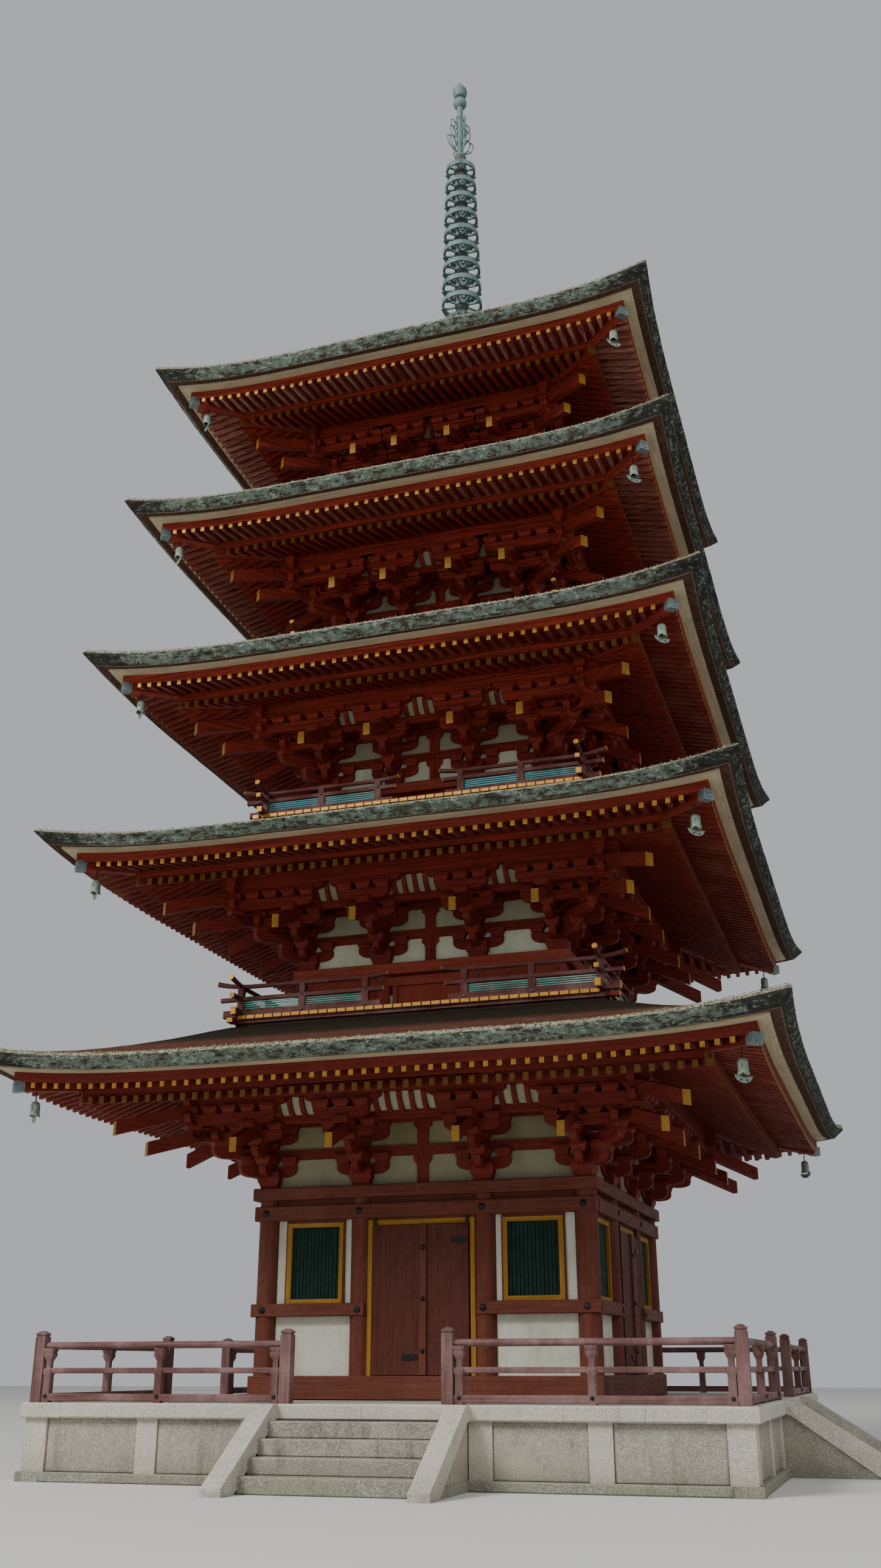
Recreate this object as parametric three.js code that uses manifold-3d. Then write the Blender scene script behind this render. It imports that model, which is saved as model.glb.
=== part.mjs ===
// Five-storied timber pagoda with bark roofs on a stone-faced platform.
// Units are millimetres, +Z is up, the ground is z = 0 and the tower's axis is x = y = 0.
// The front faces -Y. Distances called "reach" run from the axis straight out to a side.

import * as THREE from "three";
import { mergeVertices } from "three/addons/utils/BufferGeometryUtils.js";
import Module from "manifold-3d";

const wasm = await Module();
wasm.setup();

// Gap kept where one piece rests against the next
const seat = 0.3;
// How far timbers or stones of one piece run into each other
const bite = 5;

// Tower, storey by storey
const plateTops = [3950, 7445, 10675, 13790, 16740];
const columnReach = [2470, 2110, 1890, 1560, 1320];
const innerColumn = [958, 813, 720, 600, 510];
const barkTip = [5870, 5460, 5130, 4815, 4580];
const joistCentre = [null, 6477, 9919, 13115, 16178];
const railReach = [null, 2935, 2745, 2400, 2160];
const gapHalf = [null, 750, 660, 540, 460];

// Platform and stairs
const platformTop = 970;
const copingReach = 4961;
const copingHeight = 190;
const slabReach = 4865;
const plinthReach = 4950;
const plinthHeight = 120;
const facingDepth = 200;
const cornerPilaster = [4560, 4895];
const stairHalf = 1154;
const cheekWidth = 268;
const stepCount = 5;
const treadDepth = 280;
const cheekRun = 1560;
const cheekFoot = 90;
const cheekHead = 120;
const flightTuck = 50;
const platformRail = 4800;
const platformRuns = [[980, 1080, 50], [1335, 1405, 40], [1640, 1730, 45]];
const newelSpot = 1110;
const newelHalf = 75;
const newelTop = 1880;
const strutSpot = 2960;
const strutHalf = { along: 55, across: 35 };
const strutTop = 1650;

// First storey frame
const columnRadius = 178;
const columnSides = 8;
const upperColumnRadius = 130;
const plateHeight = 182;
const plateOverhang = 213;
const tieHalf = 60;
const tieShare = 0.9;
const upperRailZ = [3470, 3680];
const waistRailZ = [2100, 2280];
const footInner = 2290;
const footTop = 1290;
const railOuter = 2655;
const railInner = 2530;
const wallHalfThickness = 35;
const floorThickness = 60;
const floorBearers = [-1500, 0, 1500];
const bearerHalf = 80;
const bearerInset = 20;
const ceilingThickness = 60;
const pillarBeamHalf = 110;
const pillarBeamZ = [-40, 190];
const pillarRadius = 220;
const pillarSides = 12;
const windowOpening = { x: [1305, 2050], z: [2345, 3365] };

// Doors: the leaves hang outside the jambs on round pins
const doorHalf = 700;
const jambOuter = 830;
const jambDepth = [2500, 2558];
const lintelZ = [3290, 3430];
const leafPlane = 2600;
const leafThickness = 60;
const leafEdges = [4, 735];
const leafZ = [1300, 3355];
const pivotX = 715;
const pinRadius = 22;
const pinHoleRadius = 25.5;
const pinFoot = 1265;
const pinHead = 3495;
const pinHoleTop = 3500;
const pinSides = 8;

// Bracket sets, measured out from the column line and up from the top of the wall plate
const bracketStep = 316;
const wallBandHalf = 75;
const armHalf = 55;
const bearingBlock = { reach: [-40, 150], z: [5, 170] };
const armFootZ = 423;
const tailHalfHeight = 98;
const tailSlope = 0.42;
const tailBevel = 30;
const sideTail = { tip: 1476, centre: 491 };
const hipTail = { tip: 1438, centre: 491 };
const upperHipTail = { tip: 1798, centre: 762, start: 900 };
const stepBeamZ = [880, 1040];
const ceilingFoot = 1000;
const ribFace = 45;
const purlinReach = 3 * bracketStep;
const purlinHalf = 85;
const purlinBottom = 1240;
const purlinMargin = 10;

// Eaves, measured inwards from the mid-side edge of the bark and up from the wall plate's top
const cornerBow = 75;
const cornerRise = 255;
const risePower = 3;
const bowPower = 8;
const straightShare = 0.32;
const stations = [-1, -0.8, -0.45, 0.45, 0.8];
const barkTopZ = 1537;
const barkFaceTop = { inset: 6, z: 1463 };
const barkShoulder = 90;
const barkFootZ = 1330;
const barkLean = 146;
const creamInset = 284;
const creamZ = [1336, 1372];
const eaveBoardInset = 447;
const eaveBoardZ = [1197, 1341];
const eaveBoardFoot = 450;
const baseRowInset = 1115;
const baseRowZ = 1151;
const baseSlope = 0.36;
const flyingInnerZ = 1393;
const boardThickness = 70;
const barkThickness = 200;
const roofSlope = 0.25;
const surfaceShares = [0.3, 0.65];
const shoulderWidth = 200;
const shoulderDrop = 165;
const topUpstand = 60;
const hipHalf = 75;
const hipRoot = { drop: 150, tuck: 60 };
const baseHip = { inset: 1144, z: [1080, 1265] };
const flyingHip = { inset: 443, z: [1183, 1347] };

// Balconies
const deckBelow = 60;
const deckAbove = 100;
const deckOverhang = 130;
const deckInner = 150;
const panelHalf = 30;
const panelTop = 462;
const handrailHalf = 45;
const handrailZ = [500, 590];
const handrailIntoGap = 120;
const postHalf = { along: 40, across: 25 };

// Finial, its outlines given as [radius, height above the roof curb] or above its own foot
const roofCurb = 20900;
const roofHole = 330;
const curbRim = 150;
const curbDepth = 300;
const innerLap = 100;
const deckTuck = 20;
const basinHalf = 440;
const basinHeight = 400;
const basinRim = { half: 480, z: [380, 450] };
const bowlOutline = [[0, 400], [400, 400], [400, 520], [350, 720], [220, 860], [150, 900], [150, 960],
  [300, 1030], [400, 1150], [360, 1150], [200, 1090], [0, 1090]];
const mastRadius = 134;
const mastFoot = 1180;
const mastCollar = { extra: 20, foot: 1000 };
const roundSides = { bowl: 12, collar: 10, mast: 8, ring: 8, crown: 10 };
const firstRingZ = 22516;
const ringPitch = 472;
const ringCount = 9;
const ringRadii = [436, 333];
const ringHalfHeight = 60;
const ringWidth = 55;
const spokeHalf = { width: 18, height: 30 };
const mastHead = 420;
const crownRod = { radius: 70, height: 1700 };
const flameOutline = [[0, 120], [230, 200], [330, 480], [240, 700], [260, 950], [90, 1250], [0, 1300]];
const flameHalf = 15;
const ballOutline = [[0, 1500], [110, 1540], [160, 1650], [110, 1760], [0, 1800]];
const jewelOutline = [[0, 1780], [120, 1850], [170, 1980], [110, 2130], [0, 2320]];

const paint = {
  red: { color: 0x7d2c1d, roughness: 0.7, metalness: 0 },
  weathered: { color: 0x8b5a4c, roughness: 0.85, metalness: 0 },
  door: { color: 0x5b2a1e, roughness: 0.7, metalness: 0 },
  board: { color: 0x96613c, roughness: 0.8, metalness: 0 },
  plaster: { color: 0xd9d6c8, roughness: 0.9, metalness: 0 },
  bark: { color: 0x5e5446, roughness: 0.95, metalness: 0 },
  stone: { color: 0xa9a49a, roughness: 0.9, metalness: 0 },
  bronze: { color: 0x5e8577, roughness: 0.6, metalness: 0.7 },
};

const pagoda = new THREE.Group();

// Turn a closed geometry into a solid whose faces point out
function solidOf(source) {
  const geometry = source.clone();
  geometry.deleteAttribute("normal");
  geometry.deleteAttribute("uv");
  const merged = mergeVertices(geometry, 1e-3);
  const spots = merged.attributes.position;
  const faces = new Uint32Array(merged.index.array);
  const corners = [new THREE.Vector3(), new THREE.Vector3(), new THREE.Vector3()];
  let volume = 0;
  for (let i = 0; i < faces.length; i += 3) {
    corners.forEach((corner, k) => corner.fromBufferAttribute(spots, faces[i + k]));
    volume += corners[0].dot(corners[1].cross(corners[2]));
  }
  if (volume < 0) {
    for (let i = 0; i < faces.length; i += 3) {
      [faces[i], faces[i + 1]] = [faces[i + 1], faces[i]];
    }
  }
  return new wasm.Manifold(new wasm.Mesh({
    numProp: 3,
    vertProperties: new Float32Array(spots.array),
    triVerts: faces,
  }));
}

function joined(geometries) {
  return geometries.map(solidOf).reduce((whole, piece) => whole.add(piece));
}

function cut(solid, geometries) {
  return geometries.map(solidOf).reduce((rest, piece) => rest.subtract(piece), solid);
}

function addPiece(name, solid, finish) {
  const mesh = solid.getMesh();
  const geometry = new THREE.BufferGeometry();
  geometry.setAttribute("position", new THREE.BufferAttribute(new Float32Array(mesh.vertProperties), 3));
  geometry.setIndex(new THREE.BufferAttribute(new Uint32Array(mesh.triVerts), 1));
  const part = new THREE.Mesh(geometry, new THREE.MeshStandardMaterial(paint[finish]));
  part.name = name;
  pagoda.add(part);
}

function box([x0, x1], [y0, y1], [z0, z1]) {
  const geometry = new THREE.BoxGeometry(x1 - x0, y1 - y0, z1 - z0);
  return geometry.translate((x0 + x1) / 2, (y0 + y1) / 2, (z0 + z1) / 2);
}

// A box on the front side, given by its two reaches, which lie towards -Y
function frontBox(xs, [near, far], zs) {
  return box(xs, [-far, -near], zs);
}

// A round post with flats towards the four sides
function post(x, y, radius, [z0, z1], sides) {
  const geometry = new THREE.CylinderGeometry(radius, radius, z1 - z0, sides);
  geometry.rotateY(Math.PI / sides);
  geometry.rotateX(Math.PI / 2);
  return geometry.translate(x, y, (z0 + z1) / 2);
}

// An outline of [reach, z] points on the front side, as thick as xs is wide
function plate(outline, [x0, x1]) {
  const shape = new THREE.Shape(outline.map(([reach, z]) => new THREE.Vector2(-reach, z)));
  const geometry = new THREE.ExtrudeGeometry(shape, { depth: x1 - x0, bevelEnabled: false });
  const along = new THREE.Vector3(0, 1, 0);
  const up = new THREE.Vector3(0, 0, 1);
  const across = new THREE.Vector3(1, 0, 0);
  geometry.applyMatrix4(new THREE.Matrix4().makeBasis(along, up, across));
  return geometry.translate(x0, 0, 0);
}

function turned(geometry, quarterTurns) {
  return geometry.clone().rotateZ(quarterTurns * Math.PI / 2);
}

function onFourSides(geometries) {
  return [0, 1, 2, 3].flatMap((side) => geometries.map((geometry) => turned(geometry, side)));
}

function lathe(points, sides) {
  const geometry = new THREE.LatheGeometry(points.map(([r, z]) => new THREE.Vector2(r, z)), sides);
  return geometry.rotateX(Math.PI / 2);
}

const straight = (reach, z) => [reach, z];

// Sweep a closed [reach, z] profile round the four sides, mitred at the corners
function sweptRing(profile, stops = [-1], bend = straight) {
  const quarter = [(x, y) => [x, y], (x, y) => [-y, x], (x, y) => [-x, -y], (x, y) => [y, -x]];
  const spots = [];
  const distance = [];
  for (const turn of quarter) {
    for (const stop of stops) {
      distance.push(Math.abs(stop));
      for (const [reach, z] of profile) {
        const [bentReach, bentZ] = bend(reach, z, Math.abs(stop));
        spots.push(...turn(stop * bentReach, -bentReach), bentZ);
      }
    }
  }
  const count = profile.length;
  const sections = distance.length;
  const faces = [];
  for (let j = 0; j < sections; j += 1) {
    const next = (j + 1) % sections;
    for (let i = 0; i < count; i += 1) {
      const k = (i + 1) % count;
      const a = j * count + i;
      const b = j * count + k;
      const c = next * count + k;
      const d = next * count + i;
      const outerIsNext = profile[k][0] > profile[i][0];
      const farIsNext = distance[next] >= distance[j];
      if (outerIsNext === farIsNext) {
        faces.push(a, b, c, a, c, d);
      } else {
        faces.push(a, b, d, b, c, d);
      }
    }
  }
  const geometry = new THREE.BufferGeometry();
  geometry.setAttribute("position", new THREE.BufferAttribute(new Float32Array(spots), 3));
  geometry.setIndex(faces);
  return geometry;
}

// A plain square ring between two reaches and two heights
function squareRing([near, far], [z0, z1]) {
  return sweptRing([[near, z0], [far, z0], [far, z1], [near, z1]]);
}

// Stone platform: infill with facing slabs, a plinth course, pilasters and a coping
function makePlatform() {
  const top = platformTop - copingHeight - seat;
  const body = [box([-slabReach, slabReach], [-slabReach, slabReach], [0, top])];
  body.push(squareRing([slabReach - facingDepth, plinthReach], [0, plinthHeight]));
  const [near, far] = cornerPilaster;
  body.push(frontBox([-far, -near], cornerPilaster, [0, top]));
  body.push(frontBox(cornerPilaster, [slabReach - facingDepth, far], [0, top]));
  const faced = [body[0], body[1], ...onFourSides(body.slice(2))];
  addPiece("stone_platform", joined(faced), "stone");
  const full = [-copingReach, copingReach];
  addPiece("platform_coping", solidOf(box(full, full, [platformTop - copingHeight, platformTop])), "stone");
}

// A flight of stone steps between two sloping cheeks, for one side
function makeStair(name, side) {
  const start = copingReach + seat;
  const riser = platformTop / stepCount;
  const slabs = slabReach + seat;
  const plinth = plinthReach + seat;
  const plinthTop = plinthHeight + seat;
  const copingFoot = platformTop - copingHeight - seat;
  const back = [[slabs, plinthTop], [plinth, plinthTop], [plinth, 0]];
  const outline = [...back, [start + (stepCount - 1) * treadDepth, 0]];
  for (let step = 1; step < stepCount; step += 1) {
    const reach = start + (stepCount - step) * treadDepth;
    const inner = step === stepCount - 1 ? slabs : reach - treadDepth;
    outline.push([reach, step * riser], [inner, step * riser]);
  }
  const cheek = [...back, [start + cheekRun, 0], [start + cheekRun, cheekFoot],
    [start + cheekHead, platformTop], [start, platformTop], [start, copingFoot], [slabs, copingFoot]];
  const flight = [plate(outline, [-stairHalf - flightTuck, stairHalf + flightTuck])];
  flight.push(plate(cheek, [stairHalf, stairHalf + cheekWidth]));
  flight.push(plate(cheek, [-stairHalf - cheekWidth, -stairHalf]));
  addPiece(name, joined(flight.map((geometry) => turned(geometry, side))), "stone");
}

// The railing round one corner of the platform, from stair to stair
function makePlatformRail(name, side) {
  const foot = platformTop + seat;
  const pieces = platformRuns.map(([z0, z1, half]) => cornerBar(newelSpot, platformRail, half, [z0, z1]));
  const about = (centre) => [centre - newelHalf, centre + newelHalf];
  const newel = (x, y) => box(about(x), about(y), [foot, newelTop]);
  pieces.push(newel(platformRail, -platformRail));
  pieces.push(newel(newelSpot, -platformRail), newel(platformRail, -newelSpot));
  const strut = (x) => frontBox([x - strutHalf.along, x + strutHalf.along],
    [platformRail - strutHalf.across, platformRail + strutHalf.across], [foot, strutTop]);
  pieces.push(strut(strutSpot), turned(strut(-strutSpot), 1));
  addPiece(name, joined(pieces.map((geometry) => turned(geometry, side))), "weathered");
}

function columnSpots(reach, inner) {
  const line = [-reach, -inner, inner, reach];
  const spots = [];
  for (const x of line) {
    for (const y of line) {
      if (Math.max(Math.abs(x), Math.abs(y)) === reach) {
        spots.push([x, y]);
      }
    }
  }
  return spots;
}

// Columns, foot and head beams, waist rails and door frame of one side of the first storey.
// The front and back hold the corner columns, and the two other sides end against them.
function makeFirstFrame(name, side, hasCorners) {
  const line = columnReach[0];
  const inner = innerColumn[0];
  const top = plateTops[0];
  const plateFoot = top - plateHeight;
  const cornerFlat = line - columnRadius * Math.cos(Math.PI / columnSides);
  const footEnd = hasCorners ? railOuter : footInner - seat;
  const railEnd = hasCorners ? railOuter : cornerFlat - seat;
  const tieEnd = hasCorners ? line + tieHalf : cornerFlat - seat;
  const plateEnd = hasCorners ? line + plateOverhang : line - plateOverhang - seat;
  const columnLine = hasCorners ? [-line, -inner, inner, line] : [-inner, inner];
  const columnZ = [footTop - bite, upperRailZ[0] + bite];
  const tieZ = [upperRailZ[1] - bite, plateFoot + bite];
  const tie = [line - tieHalf, line + tieHalf];
  const pieces = columnLine.map((x) => post(x, -line, columnRadius, columnZ, columnSides));
  pieces.push(frontBox([-footEnd, footEnd], [footInner, railOuter], [platformTop + seat, footTop]));
  pieces.push(frontBox([-railEnd, railEnd], [tie[0], railOuter], upperRailZ));
  pieces.push(frontBox([-tieEnd, tieEnd], tie, [tieZ[0], plateFoot - seat]));
  pieces.push(frontBox([-plateEnd * tieShare, plateEnd * tieShare], tie, tieZ));
  const plateReach = [line - plateOverhang, line + plateOverhang];
  pieces.push(frontBox([-plateEnd, plateEnd], plateReach, [plateFoot, top]));
  pieces.push(frontBox([-doorHalf - bite, doorHalf + bite], jambDepth, lintelZ));
  for (const hand of [-1, 1]) {
    const place = ([a, b]) => (hand > 0 ? [a, b] : [-b, -a]);
    pieces.push(frontBox(place([inner, railEnd]), [railInner, railOuter], waistRailZ));
    pieces.push(frontBox(place([doorHalf, jambOuter]), jambDepth, columnZ));
    if (hasCorners) {
      pieces.push(frontBox(place([tie[0], railOuter]), [cornerFlat, railOuter], upperRailZ));
      pieces.push(frontBox(place(tie), [cornerFlat, line], tieZ));
      pieces.push(frontBox(place([railInner, railOuter]), [cornerFlat, railOuter], waistRailZ));
    }
  }
  const holes = [];
  for (const x of [-pivotX, pivotX]) {
    holes.push(post(x, -leafPlane, pinHoleRadius, [pinFoot, footTop + bite], pinSides));
    holes.push(post(x, -leafPlane, pinHoleRadius, [upperRailZ[0] - bite, pinHoleTop], pinSides));
  }
  const turnedPieces = pieces.map((geometry) => turned(geometry, side));
  const turnedHoles = holes.map((geometry) => turned(geometry, side));
  addPiece(name, cut(joined(turnedPieces), turnedHoles), "red");
}

// One wall panel of the first storey, with its window cut through
function makeWall(name, side, hand) {
  const line = columnReach[0];
  const flat = columnRadius * Math.cos(Math.PI / columnSides) + seat;
  const xs = [innerColumn[0] + flat, line - flat];
  const place = ([a, b]) => (hand > 0 ? [a, b] : [-b, -a]);
  const depth = [line - wallHalfThickness, line + wallHalfThickness];
  const panel = solidOf(turned(frontBox(place(xs), depth, [footTop + seat, upperRailZ[0] - seat]), side));
  const through = [depth[0] - bite, depth[1] + bite];
  const opening = frontBox(place(windowOpening.x), through, windowOpening.z);
  addPiece(name, cut(panel, [turned(opening, side)]), "plaster");
}

// One plank door leaf with battens and its two pivot pins
function makeLeaf(name, side, hand) {
  const place = ([a, b]) => (hand > 0 ? [a, b] : [-b, -a]);
  const faces = [leafPlane - leafThickness / 2, leafPlane + leafThickness / 2];
  const pieces = [frontBox(place(leafEdges), faces, leafZ)];
  pieces.push(post(hand * pivotX, -leafPlane, pinRadius, [pinFoot + seat, leafZ[0] + bite], pinSides));
  pieces.push(post(hand * pivotX, -leafPlane, pinRadius, [leafZ[1] - bite, pinHead], pinSides));
  addPiece(name, joined(pieces.map((geometry) => turned(geometry, side))), "door");
}

// Boarded floor on bearers, and the ceiling whose beams carry the heart pillar
function makeFloorAndCeiling() {
  const line = columnReach[0];
  const floorHalf = footInner - seat;
  const floorZ = [footTop - floorThickness, footTop];
  const floor = [box([-floorHalf, floorHalf], [-floorHalf, floorHalf], floorZ)];
  for (const y of floorBearers) {
    const bearerZ = [platformTop + seat, floorZ[0] + bite];
    const bearerX = [bearerInset - floorHalf, floorHalf - bearerInset];
    floor.push(box(bearerX, [y - bearerHalf, y + bearerHalf], bearerZ));
  }
  addPiece("first_floor", joined(floor), "board");
  const ceilingHalf = line - tieHalf - seat;
  const plateFoot = plateTops[0] - plateHeight;
  const beamHalf = line - plateOverhang - seat;
  const beamZ = pillarBeamZ.map((z) => plateFoot + z);
  const ceiling = [box([-ceilingHalf, ceilingHalf], [-ceilingHalf, ceilingHalf],
    [plateFoot - ceilingThickness - seat, plateFoot - seat])];
  const beamWidth = [-pillarBeamHalf, pillarBeamHalf];
  ceiling.push(box([-beamHalf, beamHalf], beamWidth, beamZ), box(beamWidth, [-beamHalf, beamHalf], beamZ));
  addPiece("first_ceiling", joined(ceiling), "board");
  const pillar = post(0, 0, pillarRadius, [beamZ[1] + seat, roofCurb - seat], pillarSides);
  addPiece("heart_pillar", solidOf(pillar), "board");
}

// Heights that the eaves, roof and balcony of one storey share, above its wall plate
function eaveLines(storey) {
  const line = columnReach[storey];
  const edge = barkTip[storey] - cornerBow;
  const purlinEdge = line + purlinReach + purlinHalf + purlinMargin;
  const soffit = (reach) => baseRowZ + baseSlope * (edge - baseRowInset - reach);
  const bend = (reach, z, share) => {
    const reached = Math.max(0, (share - straightShare) / (1 - straightShare)) ** risePower;
    const weight = Math.max(0, (reach - purlinEdge) / (edge - purlinEdge));
    const bow = cornerBow * reached * weight ** bowPower;
    return [reach + bow, z + cornerRise * reached * weight ** risePower];
  };
  return { line, edge, purlinEdge, soffit, bend };
}

// Three-stepped bracket sets with their tail rafters, wall band, step beam, small ceiling and purlin
function makeBrackets(storey) {
  const { line, soffit } = eaveLines(storey);
  const base = plateTops[storey];
  const inner = innerColumn[storey];
  const placed = (points, scale) => points.map(([d, z]) => [(line + d) * scale, base + z]);
  const tailLine = (tail, d, offset) => tail.centre + offset + tailSlope * (tail.tip - d);
  const under = (tail, d) => [d, tailLine(tail, d, -tailHalfHeight)];
  const over = (tail, d) => [d, tailLine(tail, d, tailHalfHeight)];
  const secondStep = 2 * bracketStep + armHalf;
  const [blockNear, blockFar] = bearingBlock.reach;
  const armsAndTail = (tail) => [
    [blockNear, bearingBlock.z[0]], [blockFar, bearingBlock.z[0]], [blockFar, bearingBlock.z[1]],
    [secondStep, armFootZ], under(tail, secondStep), under(tail, tail.tip),
    [tail.tip + tailBevel, tail.centre + tailHalfHeight], over(tail, blockNear),
  ];
  const sideSet = placed(armsAndTail(sideTail), 1);
  const spots = [-line, -inner, inner, line];
  const pieces = onFourSides(spots.map((x) => plate(sideSet, [x - armHalf, x + armHalf])));
  const upperTail = [under(upperHipTail, upperHipTail.start), under(upperHipTail, upperHipTail.tip),
    [upperHipTail.tip + tailBevel, upperHipTail.centre + tailHalfHeight], over(upperHipTail, 0),
    under(upperHipTail, 0)];
  for (const outline of [armsAndTail(hipTail), upperTail]) {
    const diagonal = plate(placed(outline, Math.SQRT2), [-armHalf, armHalf]);
    pieces.push(...onFourSides([diagonal.rotateZ(Math.PI / 4)]));
  }
  const bandNear = line - wallBandHalf;
  const bandFar = line + wallBandHalf;
  pieces.push(sweptRing([[bandNear, base + seat], [bandFar, base + seat],
    [bandFar, base + soffit(bandFar) - seat], [bandNear, base + soffit(bandNear) - seat]]));
  const purlinNear = purlinReach - purlinHalf;
  const purlinFar = purlinReach + purlinHalf;
  const stepNear = 2 * bracketStep - armHalf;
  const purlinTop = (d) => soffit(line + d) - seat;
  const stepRing = [
    [wallBandHalf - bite, ceilingFoot], [stepNear, ceilingFoot], [stepNear, stepBeamZ[0]],
    [secondStep, stepBeamZ[0]], [secondStep, stepBeamZ[1]],
    [purlinNear, purlinBottom], [purlinFar, purlinBottom], [purlinFar, purlinTop(purlinFar)],
    [purlinNear, purlinTop(purlinNear)], [purlinNear, purlinBottom + ribFace],
    [secondStep - ribFace, stepBeamZ[1]], [wallBandHalf - bite, stepBeamZ[1]],
  ];
  pieces.push(sweptRing(placed(stepRing, 1)));
  addPiece(`brackets_${storey + 1}`, joined(pieces), "red");
}

// Underside of the balcony above one storey, or of the roof curb over the top storey
function deckFoot(storey) {
  return joistCentre[storey + 1] - deckBelow - plateTops[storey];
}

// Upper surface of the bark at a reach, above the storey's wall plate
function barkSurface(storey) {
  const { edge } = eaveLines(storey);
  const isTop = storey === plateTops.length - 1;
  const innerReach = isTop ? roofHole + curbRim : railReach[storey + 1] + deckOverhang - deckTuck;
  const innerZ = isTop ? roofCurb - plateTops[storey] : deckFoot(storey) - bite;
  const run = edge - innerReach;
  const bow = (innerZ - barkTopZ - roofSlope * run) / run ** 2;
  const height = (reach) => barkTopZ + roofSlope * (edge - reach) + bow * (edge - reach) ** 2;
  return { innerReach, innerZ, height };
}

// Soffit boards, eave boards and hip rafters, with the upstand that carries what is above
function makeEaves(storey) {
  const { line, edge, purlinEdge, soffit, bend } = eaveLines(storey);
  const base = plateTops[storey];
  const isTop = storey === plateTops.length - 1;
  const near = line - wallBandHalf;
  const far = line + wallBandHalf;
  const profile = [
    [edge - creamInset, creamZ[0]],
    [edge - eaveBoardInset, eaveBoardZ[1]],
    [edge - eaveBoardFoot, eaveBoardZ[0]],
    [edge - baseRowInset, flyingInnerZ],
    [edge - baseRowInset, baseRowZ],
    [purlinEdge, soffit(purlinEdge)],
    [near, soffit(near)],
  ];
  if (isTop) {
    const { height } = barkSurface(storey);
    const under = (reach) => height(reach) - barkThickness - seat;
    profile.push([near, under(near)], [far, under(far)]);
    profile.push([far, soffit(far) + boardThickness + topUpstand]);
  } else {
    const deck = deckFoot(storey) - seat;
    const shoulder = deckFoot(storey) - shoulderDrop - seat;
    profile.push([near, deck], [far, deck], [far, shoulder], [far + shoulderWidth, shoulder]);
    profile.push([far + shoulderWidth, soffit(far + shoulderWidth) + boardThickness]);
  }
  profile.push([edge - baseRowInset, flyingInnerZ + boardThickness]);
  profile.push([edge - creamInset, creamZ[1]]);
  const lifted = profile.map(([reach, z]) => [reach, base + z]);
  const pieces = [sweptRing(lifted, stations, bend)];
  const root = Math.SQRT2;
  const hipStart = purlinEdge + purlinMargin;
  const hipMiddle = edge - baseHip.inset;
  const hipEnd = edge - flyingHip.inset;
  const hip = [[hipStart, soffit(hipStart) - hipRoot.drop], [hipMiddle, baseHip.z[0]],
    [hipMiddle, baseHip.z[1]], [hipEnd, flyingHip.z[0]], [hipEnd, flyingHip.z[1]],
    [hipStart, soffit(hipStart) + hipRoot.tuck]];
  const placed = hip.map(([reach, z]) => [reach * root, base + z]);
  for (let corner = 0; corner < 4; corner += 1) {
    pieces.push(plate(placed, [-hipHalf, hipHalf]).rotateZ(Math.PI / 4 + corner * Math.PI / 2));
  }
  addPiece(`eaves_${storey + 1}`, joined(pieces), "red");
}

// Bark roof of one storey, a shell that follows the rising eaves
function makeRoof(storey) {
  const { line, edge, bend } = eaveLines(storey);
  const { innerReach, innerZ, height } = barkSurface(storey);
  const base = plateTops[storey];
  const isTop = storey === plateTops.length - 1;
  const far = line + wallBandHalf;
  const near = line - wallBandHalf;
  const under = (reach) => height(reach) - barkThickness;
  const profile = [
    [edge - barkShoulder, height(edge - barkShoulder)],
    [edge - barkFaceTop.inset, barkFaceTop.z],
    [edge - barkLean, barkFootZ],
    [edge - creamInset, creamZ[1] + seat],
    [edge - baseRowInset, under(edge - baseRowInset)],
  ];
  if (isTop) {
    profile.push([far, under(far)], [near, under(near)]);
    profile.push([innerReach + innerLap, under(innerReach + innerLap)], [roofHole, innerZ - curbDepth]);
    profile.push([roofHole, innerZ - seat], [innerReach, innerZ - seat]);
  } else {
    const shelf = deckFoot(storey) - shoulderDrop;
    profile.push([innerReach + innerLap, Math.min(under(innerReach + innerLap), shelf)]);
    profile.push([far + shoulderWidth + bite, shelf]);
    profile.push([far + seat, shelf], [far + seat, innerZ], [innerReach, innerZ]);
  }
  for (const share of surfaceShares) {
    const reach = innerReach + (edge - innerReach) * share;
    profile.push([reach, height(reach)]);
  }
  const lifted = profile.map(([reach, z]) => [reach, base + z]);
  addPiece(`roof_${storey + 1}`, solidOf(sweptRing(lifted, stations, bend)), "bark");
}

// A level bar that runs round one corner, from one side's gap to the next side's
function cornerBar(gap, line, half, [z0, z1]) {
  const outline = [[gap, -line - half], [line + half, -line - half], [line + half, -gap],
    [line - half, -gap], [line - half, -line + half], [gap, -line + half]];
  const shape = new THREE.Shape(outline.map(([x, y]) => new THREE.Vector2(x, y)));
  const geometry = new THREE.ExtrudeGeometry(shape, { depth: z1 - z0, bevelEnabled: false });
  return geometry.translate(0, 0, z0);
}

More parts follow.
